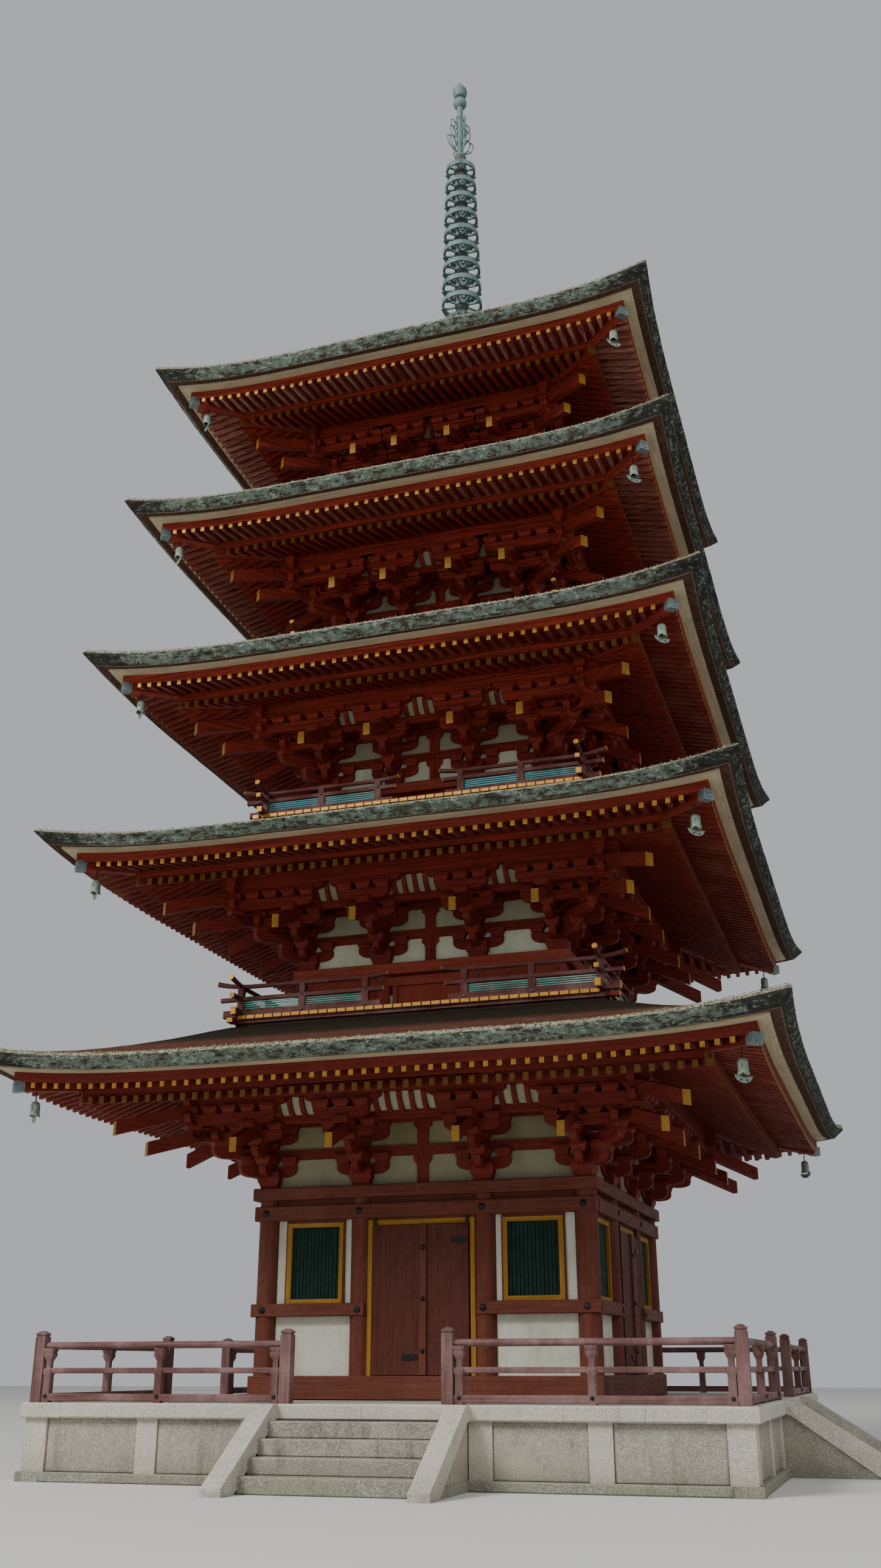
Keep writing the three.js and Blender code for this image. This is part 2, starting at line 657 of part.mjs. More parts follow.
// Balcony deck with its railing: slatted panels under a handrail, open at the middle of each side
function makeBalcony(storey) {
  const line = columnReach[storey];
  const rail = railReach[storey];
  const gap = gapHalf[storey];
  const z = joistCentre[storey];
  const handrail = handrailZ.map((height) => z + height);
  const sideParts = [cornerBar(gap, rail, panelHalf, [z + deckAbove - bite, z + panelTop])];
  sideParts.push(cornerBar(gap - handrailIntoGap, rail, handrailHalf, handrail));
  const postReach = [rail - postHalf.across, rail + postHalf.across];
  for (const x of [-gap - handrailHalf, gap + handrailHalf, rail]) {
    const postX = [x - postHalf.along, x + postHalf.along];
    sideParts.push(frontBox(postX, postReach, [z + panelTop - bite, handrail[0] + bite]));
  }
  const deck = squareRing([line - deckInner, rail + deckOverhang], [z - deckBelow, z + deckAbove]);
  addPiece(`balcony_${storey + 1}`, joined([deck, ...onFourSides(sideParts)]), "weathered");
}

// Walls, columns and wall plate of an upper storey, which stands on its balcony deck
function makeUpperStorey(storey) {
  const line = columnReach[storey];
  const inner = innerColumn[storey];
  const top = plateTops[storey];
  const foot = joistCentre[storey] + deckAbove + seat;
  const plateFoot = top - plateHeight;
  const wallNear = line - upperColumnRadius - bite;
  const pieces = [sweptRing([[wallNear, foot], [line + tieHalf, foot], [line + tieHalf, plateFoot],
    [line + plateOverhang, plateFoot], [line + plateOverhang, top], [line - plateOverhang, top],
    [line - plateOverhang, plateFoot], [wallNear, plateFoot]])];
  for (const [x, y] of columnSpots(line, inner)) {
    pieces.push(post(x, y, upperColumnRadius, [foot, plateFoot + bite], columnSides));
  }
  addPiece(`storey_${storey + 1}`, joined(pieces), "red");
}

// An outline of [radius, height] points turned about the axis, raised to a foot
function turnedOn(outline, foot, sides) {
  return lathe(outline.map(([radius, z]) => [radius, foot + z]), sides);
}

// Bronze finial: square dew basin, bowl and lotus
function makeFinialBase() {
  const square = (half) => [-half, half];
  const pieces = [box(square(basinHalf), square(basinHalf), [roofCurb, roofCurb + basinHeight])];
  const rimZ = basinRim.z.map((z) => roofCurb + z);
  pieces.push(box(square(basinRim.half), square(basinRim.half), rimZ));
  pieces.push(turnedOn(bowlOutline, roofCurb, roundSides.bowl));
  const collarZ = [roofCurb + mastCollar.foot, roofCurb + mastFoot];
  pieces.push(post(0, 0, mastRadius + mastCollar.extra, collarZ, roundSides.collar));
  addPiece("finial_base", joined(pieces), "bronze");
}

// Mast with its nine spoked rings
function makeFinialRings() {
  const top = firstRingZ + (ringCount - 1) * ringPitch + mastHead;
  const pieces = [post(0, 0, mastRadius, [roofCurb + mastFoot + seat, top], roundSides.mast)];
  for (let ring = 0; ring < ringCount; ring += 1) {
    const z = firstRingZ + ring * ringPitch;
    const far = ringRadii[0] + (ringRadii[1] - ringRadii[0]) * ring / (ringCount - 1);
    const near = far - ringWidth;
    const low = z - ringHalfHeight;
    const high = z + ringHalfHeight;
    const section = [[near, low], [far, low], [far, high], [near, high], [near, low]];
    pieces.push(lathe(section, roundSides.ring));
    const spokeZ = [z - spokeHalf.height, z + spokeHalf.height];
    const spoke = box([-near - bite, near + bite], [-spokeHalf.width, spokeHalf.width], spokeZ);
    pieces.push(turned(spoke, ring % 2));
  }
  addPiece("finial_rings", joined(pieces), "bronze");
}

// Flame ornament, ball and jewel
function makeFinialCrown() {
  const foot = firstRingZ + (ringCount - 1) * ringPitch + mastHead + seat;
  const pieces = [post(0, 0, crownRod.radius, [foot, foot + crownRod.height], roundSides.crown)];
  const flame = plate(flameOutline.map(([reach, z]) => [reach, foot + z]), [-flameHalf, flameHalf]);
  pieces.push(...onFourSides([flame.rotateZ(Math.PI / 4)]));
  pieces.push(turnedOn(ballOutline, foot, roundSides.crown));
  pieces.push(turnedOn(jewelOutline, foot, roundSides.crown));
  addPiece("finial_crown", joined(pieces), "bronze");
}

const sideNames = ["front", "right", "back", "left"];

makePlatform();
sideNames.forEach((name, side) => makeStair(`stair_${name}`, side));
const cornerNames = ["front_right", "back_right", "back_left", "front_left"];
cornerNames.forEach((name, side) => makePlatformRail(`platform_rail_${name}`, side));
sideNames.forEach((name, side) => {
  makeFirstFrame(`frame_${name}`, side, side % 2 === 0);
  makeWall(`wall_${name}_a`, side, -1);
  makeWall(`wall_${name}_b`, side, 1);
  makeLeaf(`door_${name}_a`, side, -1);
  makeLeaf(`door_${name}_b`, side, 1);
});
makeFloorAndCeiling();
for (let storey = 0; storey < plateTops.length; storey += 1) {
  if (storey > 0) {
    makeBalcony(storey);
    makeUpperStorey(storey);
  }
  makeBrackets(storey);
  makeEaves(storey);
  makeRoof(storey);
}
makeFinialBase();
makeFinialRings();
makeFinialCrown();

export default pagoda;
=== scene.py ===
import math
import random

import bmesh
import bpy
import numpy as np
from mathutils import Matrix, Vector


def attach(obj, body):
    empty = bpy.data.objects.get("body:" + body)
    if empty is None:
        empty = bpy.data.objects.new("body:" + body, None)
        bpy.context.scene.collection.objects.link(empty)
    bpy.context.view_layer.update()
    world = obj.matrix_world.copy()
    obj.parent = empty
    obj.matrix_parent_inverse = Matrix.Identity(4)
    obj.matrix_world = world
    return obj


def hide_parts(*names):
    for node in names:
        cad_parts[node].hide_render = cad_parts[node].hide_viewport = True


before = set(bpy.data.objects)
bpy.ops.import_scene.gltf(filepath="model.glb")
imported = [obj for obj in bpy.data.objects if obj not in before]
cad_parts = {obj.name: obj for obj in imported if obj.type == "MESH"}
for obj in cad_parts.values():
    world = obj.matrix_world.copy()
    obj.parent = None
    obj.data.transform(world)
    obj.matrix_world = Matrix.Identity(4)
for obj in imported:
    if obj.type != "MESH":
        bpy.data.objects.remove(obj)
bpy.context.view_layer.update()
print("frame loaded")

# Driving sizes of the tower in metres, one value for each storey, as in the frame
tower = {
    "plateTop": [3.950, 7.445, 10.675, 13.790, 16.740],
    "column": [2.470, 2.110, 1.890, 1.560, 1.320],
    "inner": [0.958, 0.813, 0.720, 0.600, 0.510],
    "barkTip": [5.870, 5.460, 5.130, 4.815, 4.580],
    "joist": [0.0, 6.477, 9.919, 13.115, 16.178],
    "rail": [0.0, 2.935, 2.745, 2.400, 2.160],
    "gap": [0.0, 0.750, 0.660, 0.540, 0.460],
    "rafterPitch": [0.190, 0.186, 0.183, 0.180, 0.177],
    "curb": 20.900,
}

# Eave lines: reaches are measured in from the mid-side edge of the bark, heights up from the plate
eave = {
    "bow": 0.075, "rise": 0.255, "straightShare": 0.32,
    "barkTop": 1.537, "barkFoot": 1.330, "barkLean": 0.146, "barkFace": 1.463, "shoulder": 0.090,
    "creamInset": 0.284, "cream": (1.336, 1.372),
    "boardInset": 0.447, "boardFoot": 0.450, "board": (1.197, 1.341),
    "baseInset": 1.115, "baseZ": 1.151, "baseSlope": 0.36, "flyingInner": 1.360,
    "barkThick": 0.200, "roofSlope": 0.25, "step": 0.316, "purlinHalf": 0.085,
}


class Storey:
    def __init__(self, k):
        self.number = k + 1
        self.isFirst = k == 0
        self.isTop = k == 4
        self.base = tower["plateTop"][k]
        self.line = tower["column"][k]
        self.inner = tower["inner"][k]
        self.edge = tower["barkTip"][k] - eave["bow"]
        self.pitch = tower["rafterPitch"][k]
        self.joist = tower["joist"][k]
        self.rail = tower["rail"][k]
        self.gap = tower["gap"][k]
        self.purlinEdge = self.line + 3 * eave["step"] + eave["purlinHalf"] + 0.010
        if self.isTop:
            self.innerReach, self.innerZ = 0.480, tower["curb"] - self.base
        else:
            self.innerReach = tower["rail"][k + 1] + 0.110
            self.innerZ = tower["joist"][k + 1] - 0.065 - self.base
        run = self.edge - self.innerReach
        self.hollow = (self.innerZ - eave["barkTop"] - eave["roofSlope"] * run) / run ** 2

    # Underside of the boards over the base rafters
    def soffit(self, reach):
        return eave["baseZ"] + eave["baseSlope"] * (self.edge - eave["baseInset"] - reach)

    # Underside of the boards over the flying rafters
    def flyingSoffit(self, reach):
        slope = (eave["flyingInner"] - eave["board"][0]) / (eave["baseInset"] - eave["boardFoot"])
        return eave["board"][0] + slope * (self.edge - eave["boardFoot"] - reach)

    # Upper surface of the bark
    def bark(self, reach):
        d = self.edge - reach
        return eave["barkTop"] + eave["roofSlope"] * d + self.hollow * d * d

    # How a point of the eaves moves out and up towards the corners
    def bend(self, reach, z, share):
        reached = max(0.0, (share - eave["straightShare"]) / (1 - eave["straightShare"])) ** 3
        weight = max(0.0, (reach - self.purlinEdge) / (self.edge - self.purlinEdge))
        return reach + eave["bow"] * reached * weight ** 8, z + eave["rise"] * reached * weight ** 3


storeys = [Storey(k) for k in range(5)]


# A colour as seen on a screen, turned into the linear values that the shaders take
def seen(r, g, b):
    def linear(v):
        v = v / 255
        return v / 12.92 if v <= 0.04045 else ((v + 0.055) / 1.055) ** 2.4
    return (linear(r), linear(g), linear(b), 1.0)


# Shader node helpers
def addNode(tree, kind, **values):
    node = tree.nodes.new(kind)
    for name, value in values.items():
        setattr(node, name, value)
    return node


def feed(tree, source, target):
    tree.links.new(source, target)
    return target.node


def newGroup(name, inputs, outputs):
    group = bpy.data.node_groups.new(name, "ShaderNodeTree")
    for label, kind, value in inputs:
        socket = group.interface.new_socket(label, in_out="INPUT", socket_type=kind)
        socket.default_value = value
    for label, kind in outputs:
        group.interface.new_socket(label, in_out="OUTPUT", socket_type=kind)
    return group, addNode(group, "NodeGroupInput"), addNode(group, "NodeGroupOutput")


def mathNode(tree, operation, a, b=None, clamp=False):
    node = addNode(tree, "ShaderNodeMath", operation=operation, use_clamp=clamp)
    for socket, value in zip(node.inputs, (a, b)):
        if value is None:
            continue
        if isinstance(value, (int, float)):
            socket.default_value = value
        else:
            feed(tree, value, socket)
    return node.outputs[0]


def noiseNode(tree, vector, scale, detail=4.0, rough=0.6):
    node = addNode(tree, "ShaderNodeTexNoise")
    feed(tree, vector, node.inputs["Vector"])
    if isinstance(scale, (int, float)):
        node.inputs["Scale"].default_value = scale
    else:
        feed(tree, scale, node.inputs["Scale"])
    node.inputs["Detail"].default_value = detail
    node.inputs["Roughness"].default_value = rough
    return node.outputs["Fac"]


def stretchNode(tree, vector, scale):
    node = addNode(tree, "ShaderNodeMapping")
    feed(tree, vector, node.inputs["Vector"])
    node.inputs["Scale"].default_value = scale
    return node.outputs["Vector"]


def rampNode(tree, factor, low, high):
    node = addNode(tree, "ShaderNodeMapRange", interpolation_type="SMOOTHSTEP")
    feed(tree, factor, node.inputs["Value"])
    node.inputs["From Min"].default_value = low
    node.inputs["From Max"].default_value = high
    return node.outputs["Result"]


def mixNode(tree, factor, a, b, blend="MIX"):
    node = addNode(tree, "ShaderNodeMix", data_type="RGBA", blend_type=blend)
    for socket, value in ((node.inputs[0], factor), (node.inputs[6], a), (node.inputs[7], b)):
        if isinstance(value, (int, float, tuple)):
            socket.default_value = value
        else:
            feed(tree, value, socket)
    return node.outputs[2]


# Streaks that run along each timber, read from its own grain map
def buildGrainGroup():
    group, take, give = newGroup("timberGrain",
                                 [("Fineness", "NodeSocketFloat", 1.0)],
                                 [("Streak", "NodeSocketFloat"), ("Check", "NodeSocketFloat")])
    along = addNode(group, "ShaderNodeUVMap", uv_map="grain").outputs["UV"]
    streak = noiseNode(group, stretchNode(group, along, (0.9, 26.0, 1.0)), take.outputs["Fineness"], 5.0)
    split = noiseNode(group, stretchNode(group, along, (0.5, 60.0, 1.0)), take.outputs["Fineness"], 3.0)
    feed(group, rampNode(group, streak, 0.36, 0.66), give.inputs["Streak"])
    feed(group, rampNode(group, split, 0.60, 0.72), give.inputs["Check"])
    return group


# Broad stains and fine dust, from the place in the tower
def buildWeatherGroup():
    group, take, give = newGroup("weathering",
                                 [("Size", "NodeSocketFloat", 1.0)],
                                 [("Stain", "NodeSocketFloat"), ("Dust", "NodeSocketFloat")])
    place = addNode(group, "ShaderNodeTexCoord").outputs["Object"]
    broad = noiseNode(group, stretchNode(group, place, (1.0, 1.0, 0.45)), take.outputs["Size"], 6.0, 0.62)
    fine = noiseNode(group, stretchNode(group, place, (9.0, 9.0, 7.0)), take.outputs["Size"], 4.0, 0.7)
    feed(group, rampNode(group, broad, 0.42, 0.70), give.inputs["Stain"])
    feed(group, rampNode(group, fine, 0.40, 0.72), give.inputs["Dust"])
    return group


grainGroup = buildGrainGroup()
weatherGroup = buildWeatherGroup()
finishes = {}


def groupNode(tree, group, value):
    node = addNode(tree, "ShaderNodeGroup", node_tree=group)
    node.inputs[0].default_value = value
    return node


def newFinish(name, metal=0.0, specular=0.4):
    material = bpy.data.materials.new(name)
    material.use_nodes = True
    shader = material.node_tree.nodes["Principled BSDF"]
    shader.inputs["Metallic"].default_value = metal
    shader.inputs["Specular IOR Level"].default_value = specular
    finishes[name] = material
    return material.node_tree, shader


def roughen(tree, shader, mask, low, high):
    node = addNode(tree, "ShaderNodeMapRange")
    feed(tree, mask, node.inputs["Value"])
    node.inputs["To Min"].default_value = low
    node.inputs["To Max"].default_value = high
    feed(tree, node.outputs["Result"], shader.inputs["Roughness"])


def emboss(tree, shader, height, distance, strength=0.6):
    node = addNode(tree, "ShaderNodeBump")
    node.inputs["Distance"].default_value = distance
    node.inputs["Strength"].default_value = strength
    feed(tree, height, node.inputs["Height"])
    feed(tree, node.outputs["Normal"], shader.inputs["Normal"])


# Painted or bare timber: grain streaks, drying checks, faded and dusty patches
timberFinishes = {
    # redPaint's high tone is painted light: the red grows lighter up the tower, standing in for the brighter
    # light on the upper brackets. On flyPaint the high tone is weathering, on slatPaint a bluer coat.
    "redPaint": {"paint": (118, 34, 20), "shade": (98, 28, 16), "worn": (130, 56, 40), "wear": 0.30,
                 "high": (170, 56, 34), "heights": (5.0, 13.0)},
    "flyPaint": {"paint": (124, 42, 28), "shade": (98, 30, 19), "worn": (150, 92, 74), "wear": 0.5,
                 "high": (184, 140, 122), "heights": (13.0, 17.5)},
    "framePaint": {"paint": (112, 56, 40), "shade": (92, 44, 31), "worn": (122, 74, 58), "wear": 0.35},
    "railPaint": {"paint": (112, 62, 54), "shade": (84, 44, 38), "worn": (142, 104, 98), "wear": 0.6},
    "doorPaint": {"paint": (92, 44, 32), "shade": (78, 36, 26), "worn": (104, 60, 46), "wear": 0.35},
    # The lighter wall paint is painted light: the red paint lightened for the upper walls and doors, which
    # lie in the shade of the balcony and eaves.
    "litWallPaint": {"paint": (172, 72, 50), "shade": (146, 58, 40), "worn": (176, 96, 74), "wear": 0.35},
    # The near-black timber is painted shade, standing in for the shadow gap between the balcony and the bark
    # below it.
    "paintedShadeTimber": {"paint": (52, 30, 22), "shade": (38, 22, 16), "worn": (60, 40, 30), "wear": 0.3},
    "yellowPaint": {"paint": (172, 126, 34), "shade": (146, 102, 26), "worn": (184, 148, 74), "wear": 0.3},
    "slatPaint": {"paint": (126, 184, 168), "shade": (64, 122, 110), "worn": (190, 212, 200), "wear": 0.6,
                  "high": (66, 170, 196), "heights": (7.5, 9.9)},
    "barPaint": {"paint": (8, 48, 38), "shade": (6, 38, 31), "worn": (16, 58, 46), "wear": 0.3},
    "creamBoard": {"paint": (194, 182, 152), "shade": (174, 162, 130), "worn": (140, 132, 102), "wear": 0.45},
    "bareBoard": {"paint": (140, 100, 66), "shade": (104, 70, 44), "worn": (120, 104, 88), "wear": 0.4},
    "oldTimber": {"paint": (116, 80, 76), "shade": (88, 58, 54), "worn": (150, 122, 118), "wear": 0.7},
}


def timberFinish(name, look):
    tree, shader = newFinish(name, specular=0.28)
    grain = groupNode(tree, grainGroup, 1.0)
    weather = groupNode(tree, weatherGroup, 1.3)
    colour = mixNode(tree, grain.outputs["Streak"], seen(*look["shade"]), seen(*look["paint"]))
    worn = mathNode(tree, "MULTIPLY", weather.outputs["Stain"], look["wear"])
    colour = mixNode(tree, worn, colour, seen(*look["worn"]))
    # Tone that changes with height: painted light on the red paint, a real change of colour on the other
    # finishes.
    if "high" in look:
        split = addNode(tree, "ShaderNodeSeparateXYZ")
        feed(tree, addNode(tree, "ShaderNodeTexCoord").outputs["Object"], split.inputs[0])
        raised = mathNode(tree, "MULTIPLY", rampNode(tree, split.outputs["Z"], *look["heights"]),
                          grain.outputs["Streak"])
        colour = mixNode(tree, mathNode(tree, "MULTIPLY", raised, 0.85), colour, seen(*look["high"]))
    dust = mathNode(tree, "MULTIPLY", weather.outputs["Dust"], 0.30)
    colour = mixNode(tree, dust, colour, seen(*look["shade"]))
    checks = mathNode(tree, "MULTIPLY", grain.outputs["Check"], 0.55)
    colour = mixNode(tree, checks, colour, seen(*[v * 0.45 for v in look["shade"]]))
    feed(tree, colour, shader.inputs["Base Color"])
    roughen(tree, shader, weather.outputs["Dust"], 0.62, 0.88)
    height = mathNode(tree, "SUBTRACT", grain.outputs["Streak"], grain.outputs["Check"])
    emboss(tree, shader, height, 0.004, 0.5)


# Gilt end plates and other metal
metalFinishes = {
    "giltPlate": {"base": (204, 144, 42), "dark": (168, 112, 28), "patina": (206, 158, 70), "metal": 0.35,
                  "gloss": 0.45},
    "giltRim": {"base": (184, 132, 48), "dark": (150, 104, 32), "patina": (196, 152, 76), "metal": 0.3,
                "gloss": 0.45},
    "tailGilt": {"base": (178, 130, 32), "dark": (146, 102, 22), "patina": (184, 142, 56), "metal": 0.3,
                 "gloss": 0.5},
    # The darker gilt is painted shade: the gilt of the base rafter and lower hip ends, deep under the eaves,
    # made darker.
    "shadedGilt": {"base": (128, 84, 26), "dark": (92, 56, 16), "patina": (136, 100, 44), "metal": 0.3,
                 "gloss": 0.55},
    "bronzePatina": {"base": (96, 120, 117), "dark": (56, 70, 72), "patina": (128, 150, 144), "metal": 0.35,
                     "gloss": 0.6},
    "mastBronze": {"base": (78, 80, 74), "dark": (52, 54, 50), "patina": (100, 106, 98), "metal": 0.35,
                   "gloss": 0.6},
    "bellBronze": {"base": (134, 150, 134), "dark": (96, 112, 98), "patina": (164, 176, 156), "metal": 0.3,
                   "gloss": 0.6},
    "capMetal": {"base": (118, 134, 132), "dark": (80, 94, 94), "patina": (150, 166, 160), "metal": 0.45,
                 "gloss": 0.5},
    "agedStud": {"base": (112, 92, 88), "dark": (84, 66, 62), "patina": (134, 116, 110), "metal": 0.3,
                 "gloss": 0.6},
    "ironWork": {"base": (40, 36, 38), "dark": (22, 20, 22), "patina": (70, 62, 60), "metal": 0.6,
                 "gloss": 0.5},
}


def metalFinish(name, look):
    tree, shader = newFinish(name, metal=look["metal"], specular=0.5)
    weather = groupNode(tree, weatherGroup, 3.1)
    colour = mixNode(tree, weather.outputs["Dust"], seen(*look["base"]), seen(*look["dark"]))
    tarnish = mathNode(tree, "MULTIPLY", weather.outputs["Stain"], 0.6)
    colour = mixNode(tree, tarnish, colour, seen(*look["patina"]))
    feed(tree, colour, shader.inputs["Base Color"])
    roughen(tree, shader, weather.outputs["Stain"], look["gloss"] - 0.08, look["gloss"] + 0.2)
    emboss(tree, shader, weather.outputs["Dust"], 0.003, 0.4)


# Lime plaster with faint streaks of rain and trowel marks. The first two are the plaster's own colour; the
# three darker ones are the same plaster with painted shade, for walls and rib slots deep under the eaves.
plasterFinishes = {
    "limePlaster": {"base": (214, 211, 196), "stain": (188, 186, 168), "dust": (160, 158, 140)},
    "highPlaster": {"base": (220, 223, 196), "stain": (200, 203, 174), "dust": (178, 181, 150)},
    "shadedBandPlaster": {"base": (172, 171, 144), "stain": (154, 152, 124), "dust": (134, 132, 104)},
    "shadePlaster": {"base": (150, 147, 118), "stain": (134, 131, 103), "dust": (118, 115, 90)},
    "deepShadePlaster": {"base": (140, 135, 101), "stain": (122, 117, 84), "dust": (106, 101, 72)},
}


def plasterFinish(name, look):
    tree, shader = newFinish(name, specular=0.2)
    weather = groupNode(tree, weatherGroup, 1.7)
    colour = mixNode(tree, weather.outputs["Stain"], seen(*look["base"]), seen(*look["stain"]))
    dust = mathNode(tree, "MULTIPLY", weather.outputs["Dust"], 0.25)
    colour = mixNode(tree, dust, colour, seen(*look["dust"]))
    feed(tree, colour, shader.inputs["Base Color"])
    roughen(tree, shader, weather.outputs["Dust"], 0.8, 0.95)
    emboss(tree, shader, weather.outputs["Dust"], 0.002, 0.3)


# The reach of a point: its distance out from the axis, measured towards the nearest side
def reachNode(tree):
    place = addNode(tree, "ShaderNodeTexCoord").outputs["Object"]
    split = addNode(tree, "ShaderNodeSeparateXYZ")
    feed(tree, place, split.inputs[0])
    x = mathNode(tree, "ABSOLUTE", split.outputs["X"])
    y = mathNode(tree, "ABSOLUTE", split.outputs["Y"])
    return place, mathNode(tree, "MAXIMUM", x, y), split.outputs["Z"]


barkLook = {"course": 0.060, "moss": (78, 76, 46), "brown": (100, 57, 43), "dark": (54, 34, 27),
            "grey": (116, 98, 80)}


# Bark roof: fine courses that run along the eaves, browned, with grey and mossy patches
def barkTopFinish():
    tree, shader = newFinish("barkCourses", specular=0.15)
    place, reach, _ = reachNode(tree)
    wobble = noiseNode(tree, stretchNode(tree, place, (1.6, 1.6, 1.6)), 1.0, 5.0)
    shifted = mathNode(tree, "ADD", reach, mathNode(tree, "MULTIPLY", wobble, 0.10))
    course = mathNode(tree, "FRACT", mathNode(tree, "DIVIDE", shifted, barkLook["course"]))
    fibre = noiseNode(tree, stretchNode(tree, place, (30.0, 30.0, 30.0)), 1.0, 6.0, 0.75)
    colour = mixNode(tree, rampNode(tree, fibre, 0.3, 0.7), seen(*barkLook["dark"]), seen(*barkLook["brown"]))
    shadow = mathNode(tree, "MULTIPLY", rampNode(tree, course, 0.75, 1.0), 0.6)
    colour = mixNode(tree, shadow, colour, seen(*barkLook["dark"]))
    patches = noiseNode(tree, stretchNode(tree, place, (0.55, 0.55, 0.8)), 1.0, 8.0, 0.7)
    mossy = mathNode(tree, "MULTIPLY", rampNode(tree, patches, 0.54, 0.68), 0.55)
    colour = mixNode(tree, mossy, colour, seen(*barkLook["moss"]))
    grey = noiseNode(tree, stretchNode(tree, place, (2.3, 2.3, 3.0)), 1.0, 8.0, 0.75)
    colour = mixNode(tree, mathNode(tree, "MULTIPLY", rampNode(tree, grey, 0.54, 0.70), 0.55), colour,
                     seen(*barkLook["grey"]))
    feed(tree, colour, shader.inputs["Base Color"])
    roughen(tree, shader, fibre, 0.85, 1.0)
    height = mathNode(tree, "SUBTRACT", mathNode(tree, "MULTIPLY", fibre, 0.8), course)
    emboss(tree, shader, height, 0.020, 0.8)


# Cut edge of the bark: dark layers grown over with pale grey-green lichen, rotted in ragged patches; the
# right side is darker still, partly less lichen and partly painted shade.
def barkEdgeFinish(name, rot):
    tree, shader = newFinish(name, specular=0.12)
    place, reach, _ = reachNode(tree)
    layers = noiseNode(tree, stretchNode(tree, place, (2.2, 2.2, 55.0)), 1.0, 5.0, 0.7)
    colour = mixNode(tree, rampNode(tree, layers, 0.36, 0.62), seen(38, 34, 32), seen(88, 84, 72))
    blotch = noiseNode(tree, stretchNode(tree, place, (4.5, 4.5, 11.0)), 1.0, 12.0, 0.80)
    colour = mixNode(tree, rampNode(tree, blotch, 0.45, 0.51), colour, seen(108, 121, 109))
    bright = noiseNode(tree, stretchNode(tree, place, (12.0, 12.0, 20.0)), 1.0, 8.0, 0.78)
    pale = mathNode(tree, "MULTIPLY", rampNode(tree, bright, 0.51, 0.59), rampNode(tree, blotch, 0.44, 0.52))
    colour = mixNode(tree, pale, colour, seen(146, 162, 150))
    green = noiseNode(tree, stretchNode(tree, place, (2.0, 2.0, 2.0)), 1.0, 5.0, 0.7)
    colour = mixNode(tree, mathNode(tree, "MULTIPLY", rampNode(tree, green, 0.5, 0.7), 0.35), colour,
                     seen(74, 88, 44))
    split = addNode(tree, "ShaderNodeSeparateXYZ")
    feed(tree, place, split.inputs[0])
    across = mathNode(tree, "MINIMUM", mathNode(tree, "ABSOLUTE", split.outputs["X"]),
                      mathNode(tree, "ABSOLUTE", split.outputs["Y"]))
    corner = mathNode(tree, "MULTIPLY", rampNode(tree, mathNode(tree, "DIVIDE", across, reach), 0.78, 0.97),
                      0.13)
    # The right side of the edge is darkened further: painted shade on the side away from the lights, and less
    # lichen there.
    bareAndShadedSide = mathNode(tree, "MULTIPLY",
                    rampNode(tree, mathNode(tree, "DIVIDE", split.outputs["X"], reach), 0.975, 0.998), 0.10)
    holes = noiseNode(tree, stretchNode(tree, place, (10.0, 10.0, 24.0)), 1.0, 10.0, 0.82)
    rotted = rampNode(tree, mathNode(tree, "ADD", holes, mathNode(tree, "MAXIMUM", corner, bareAndShadedSide)), rot,
                      rot + 0.04)
    colour = mixNode(tree, mathNode(tree, "MULTIPLY", rotted, 0.9), colour, seen(42, 38, 36))
    feed(tree, colour, shader.inputs["Base Color"])
    roughen(tree, shader, blotch, 0.85, 1.0)
    emboss(tree, shader, mathNode(tree, "ADD", blotch, layers), 0.020, 0.9)


# Pale loose bark ends along the top of the eaves, and the dark layers seen from below; the last two are
# painted shade, darkening the bark where the balcony above shades it.
barkTones = {
    "barkFringe": {"dark": (112, 104, 82), "pale": (192, 186, 156), "patch": (124, 114, 84)},
    "barkRim": {"dark": (76, 68, 52), "pale": (176, 170, 142), "patch": (112, 102, 74)},
    "barkLip": {"dark": (84, 64, 56), "pale": (132, 108, 98), "patch": (92, 72, 62)},
    "barkUnder": {"dark": (56, 38, 30), "pale": (104, 78, 64), "patch": (74, 52, 42)},
    "barkHalfShade": {"dark": (36, 26, 18), "pale": (74, 50, 36), "patch": (50, 46, 26)},
    "barkDeepShade": {"dark": (24, 21, 14), "pale": (46, 38, 26), "patch": (34, 38, 18)},
}


def barkToneFinish(name, look):
    tree, shader = newFinish(name, specular=0.12)
    place, _, _ = reachNode(tree)
    fibre = noiseNode(tree, stretchNode(tree, place, (26.0, 26.0, 26.0)), 1.0, 6.0, 0.8)
    colour = mixNode(tree, rampNode(tree, fibre, 0.38, 0.60), seen(*look["dark"]), seen(*look["pale"]))
    patches = noiseNode(tree, stretchNode(tree, place, (1.2, 1.2, 2.0)), 1.0, 6.0, 0.7)
    colour = mixNode(tree, mathNode(tree, "MULTIPLY", rampNode(tree, patches, 0.50, 0.68), 0.55), colour,
                     seen(*look["patch"]))
    feed(tree, colour, shader.inputs["Base Color"])
    roughen(tree, shader, fibre, 0.85, 1.0)
    emboss(tree, shader, fibre, 0.020, 0.8)


# Granite: pale speckled ground, dark and warm grains, rain streaks and lichen low down
stoneFinishes = {
    "graniteBlock": {"base": (180, 174, 160), "grain": (142, 136, 124), "warm": (190, 176, 152),
                     "stain": 0.45},
    "graniteStep": {"base": (178, 174, 160), "grain": (122, 118, 108), "warm": (186, 176, 152),
                    "stain": 0.65},
    "granitePale": {"base": (212, 207, 194), "grain": (168, 162, 150), "warm": (212, 200, 178),
                    "stain": 0.26},
}


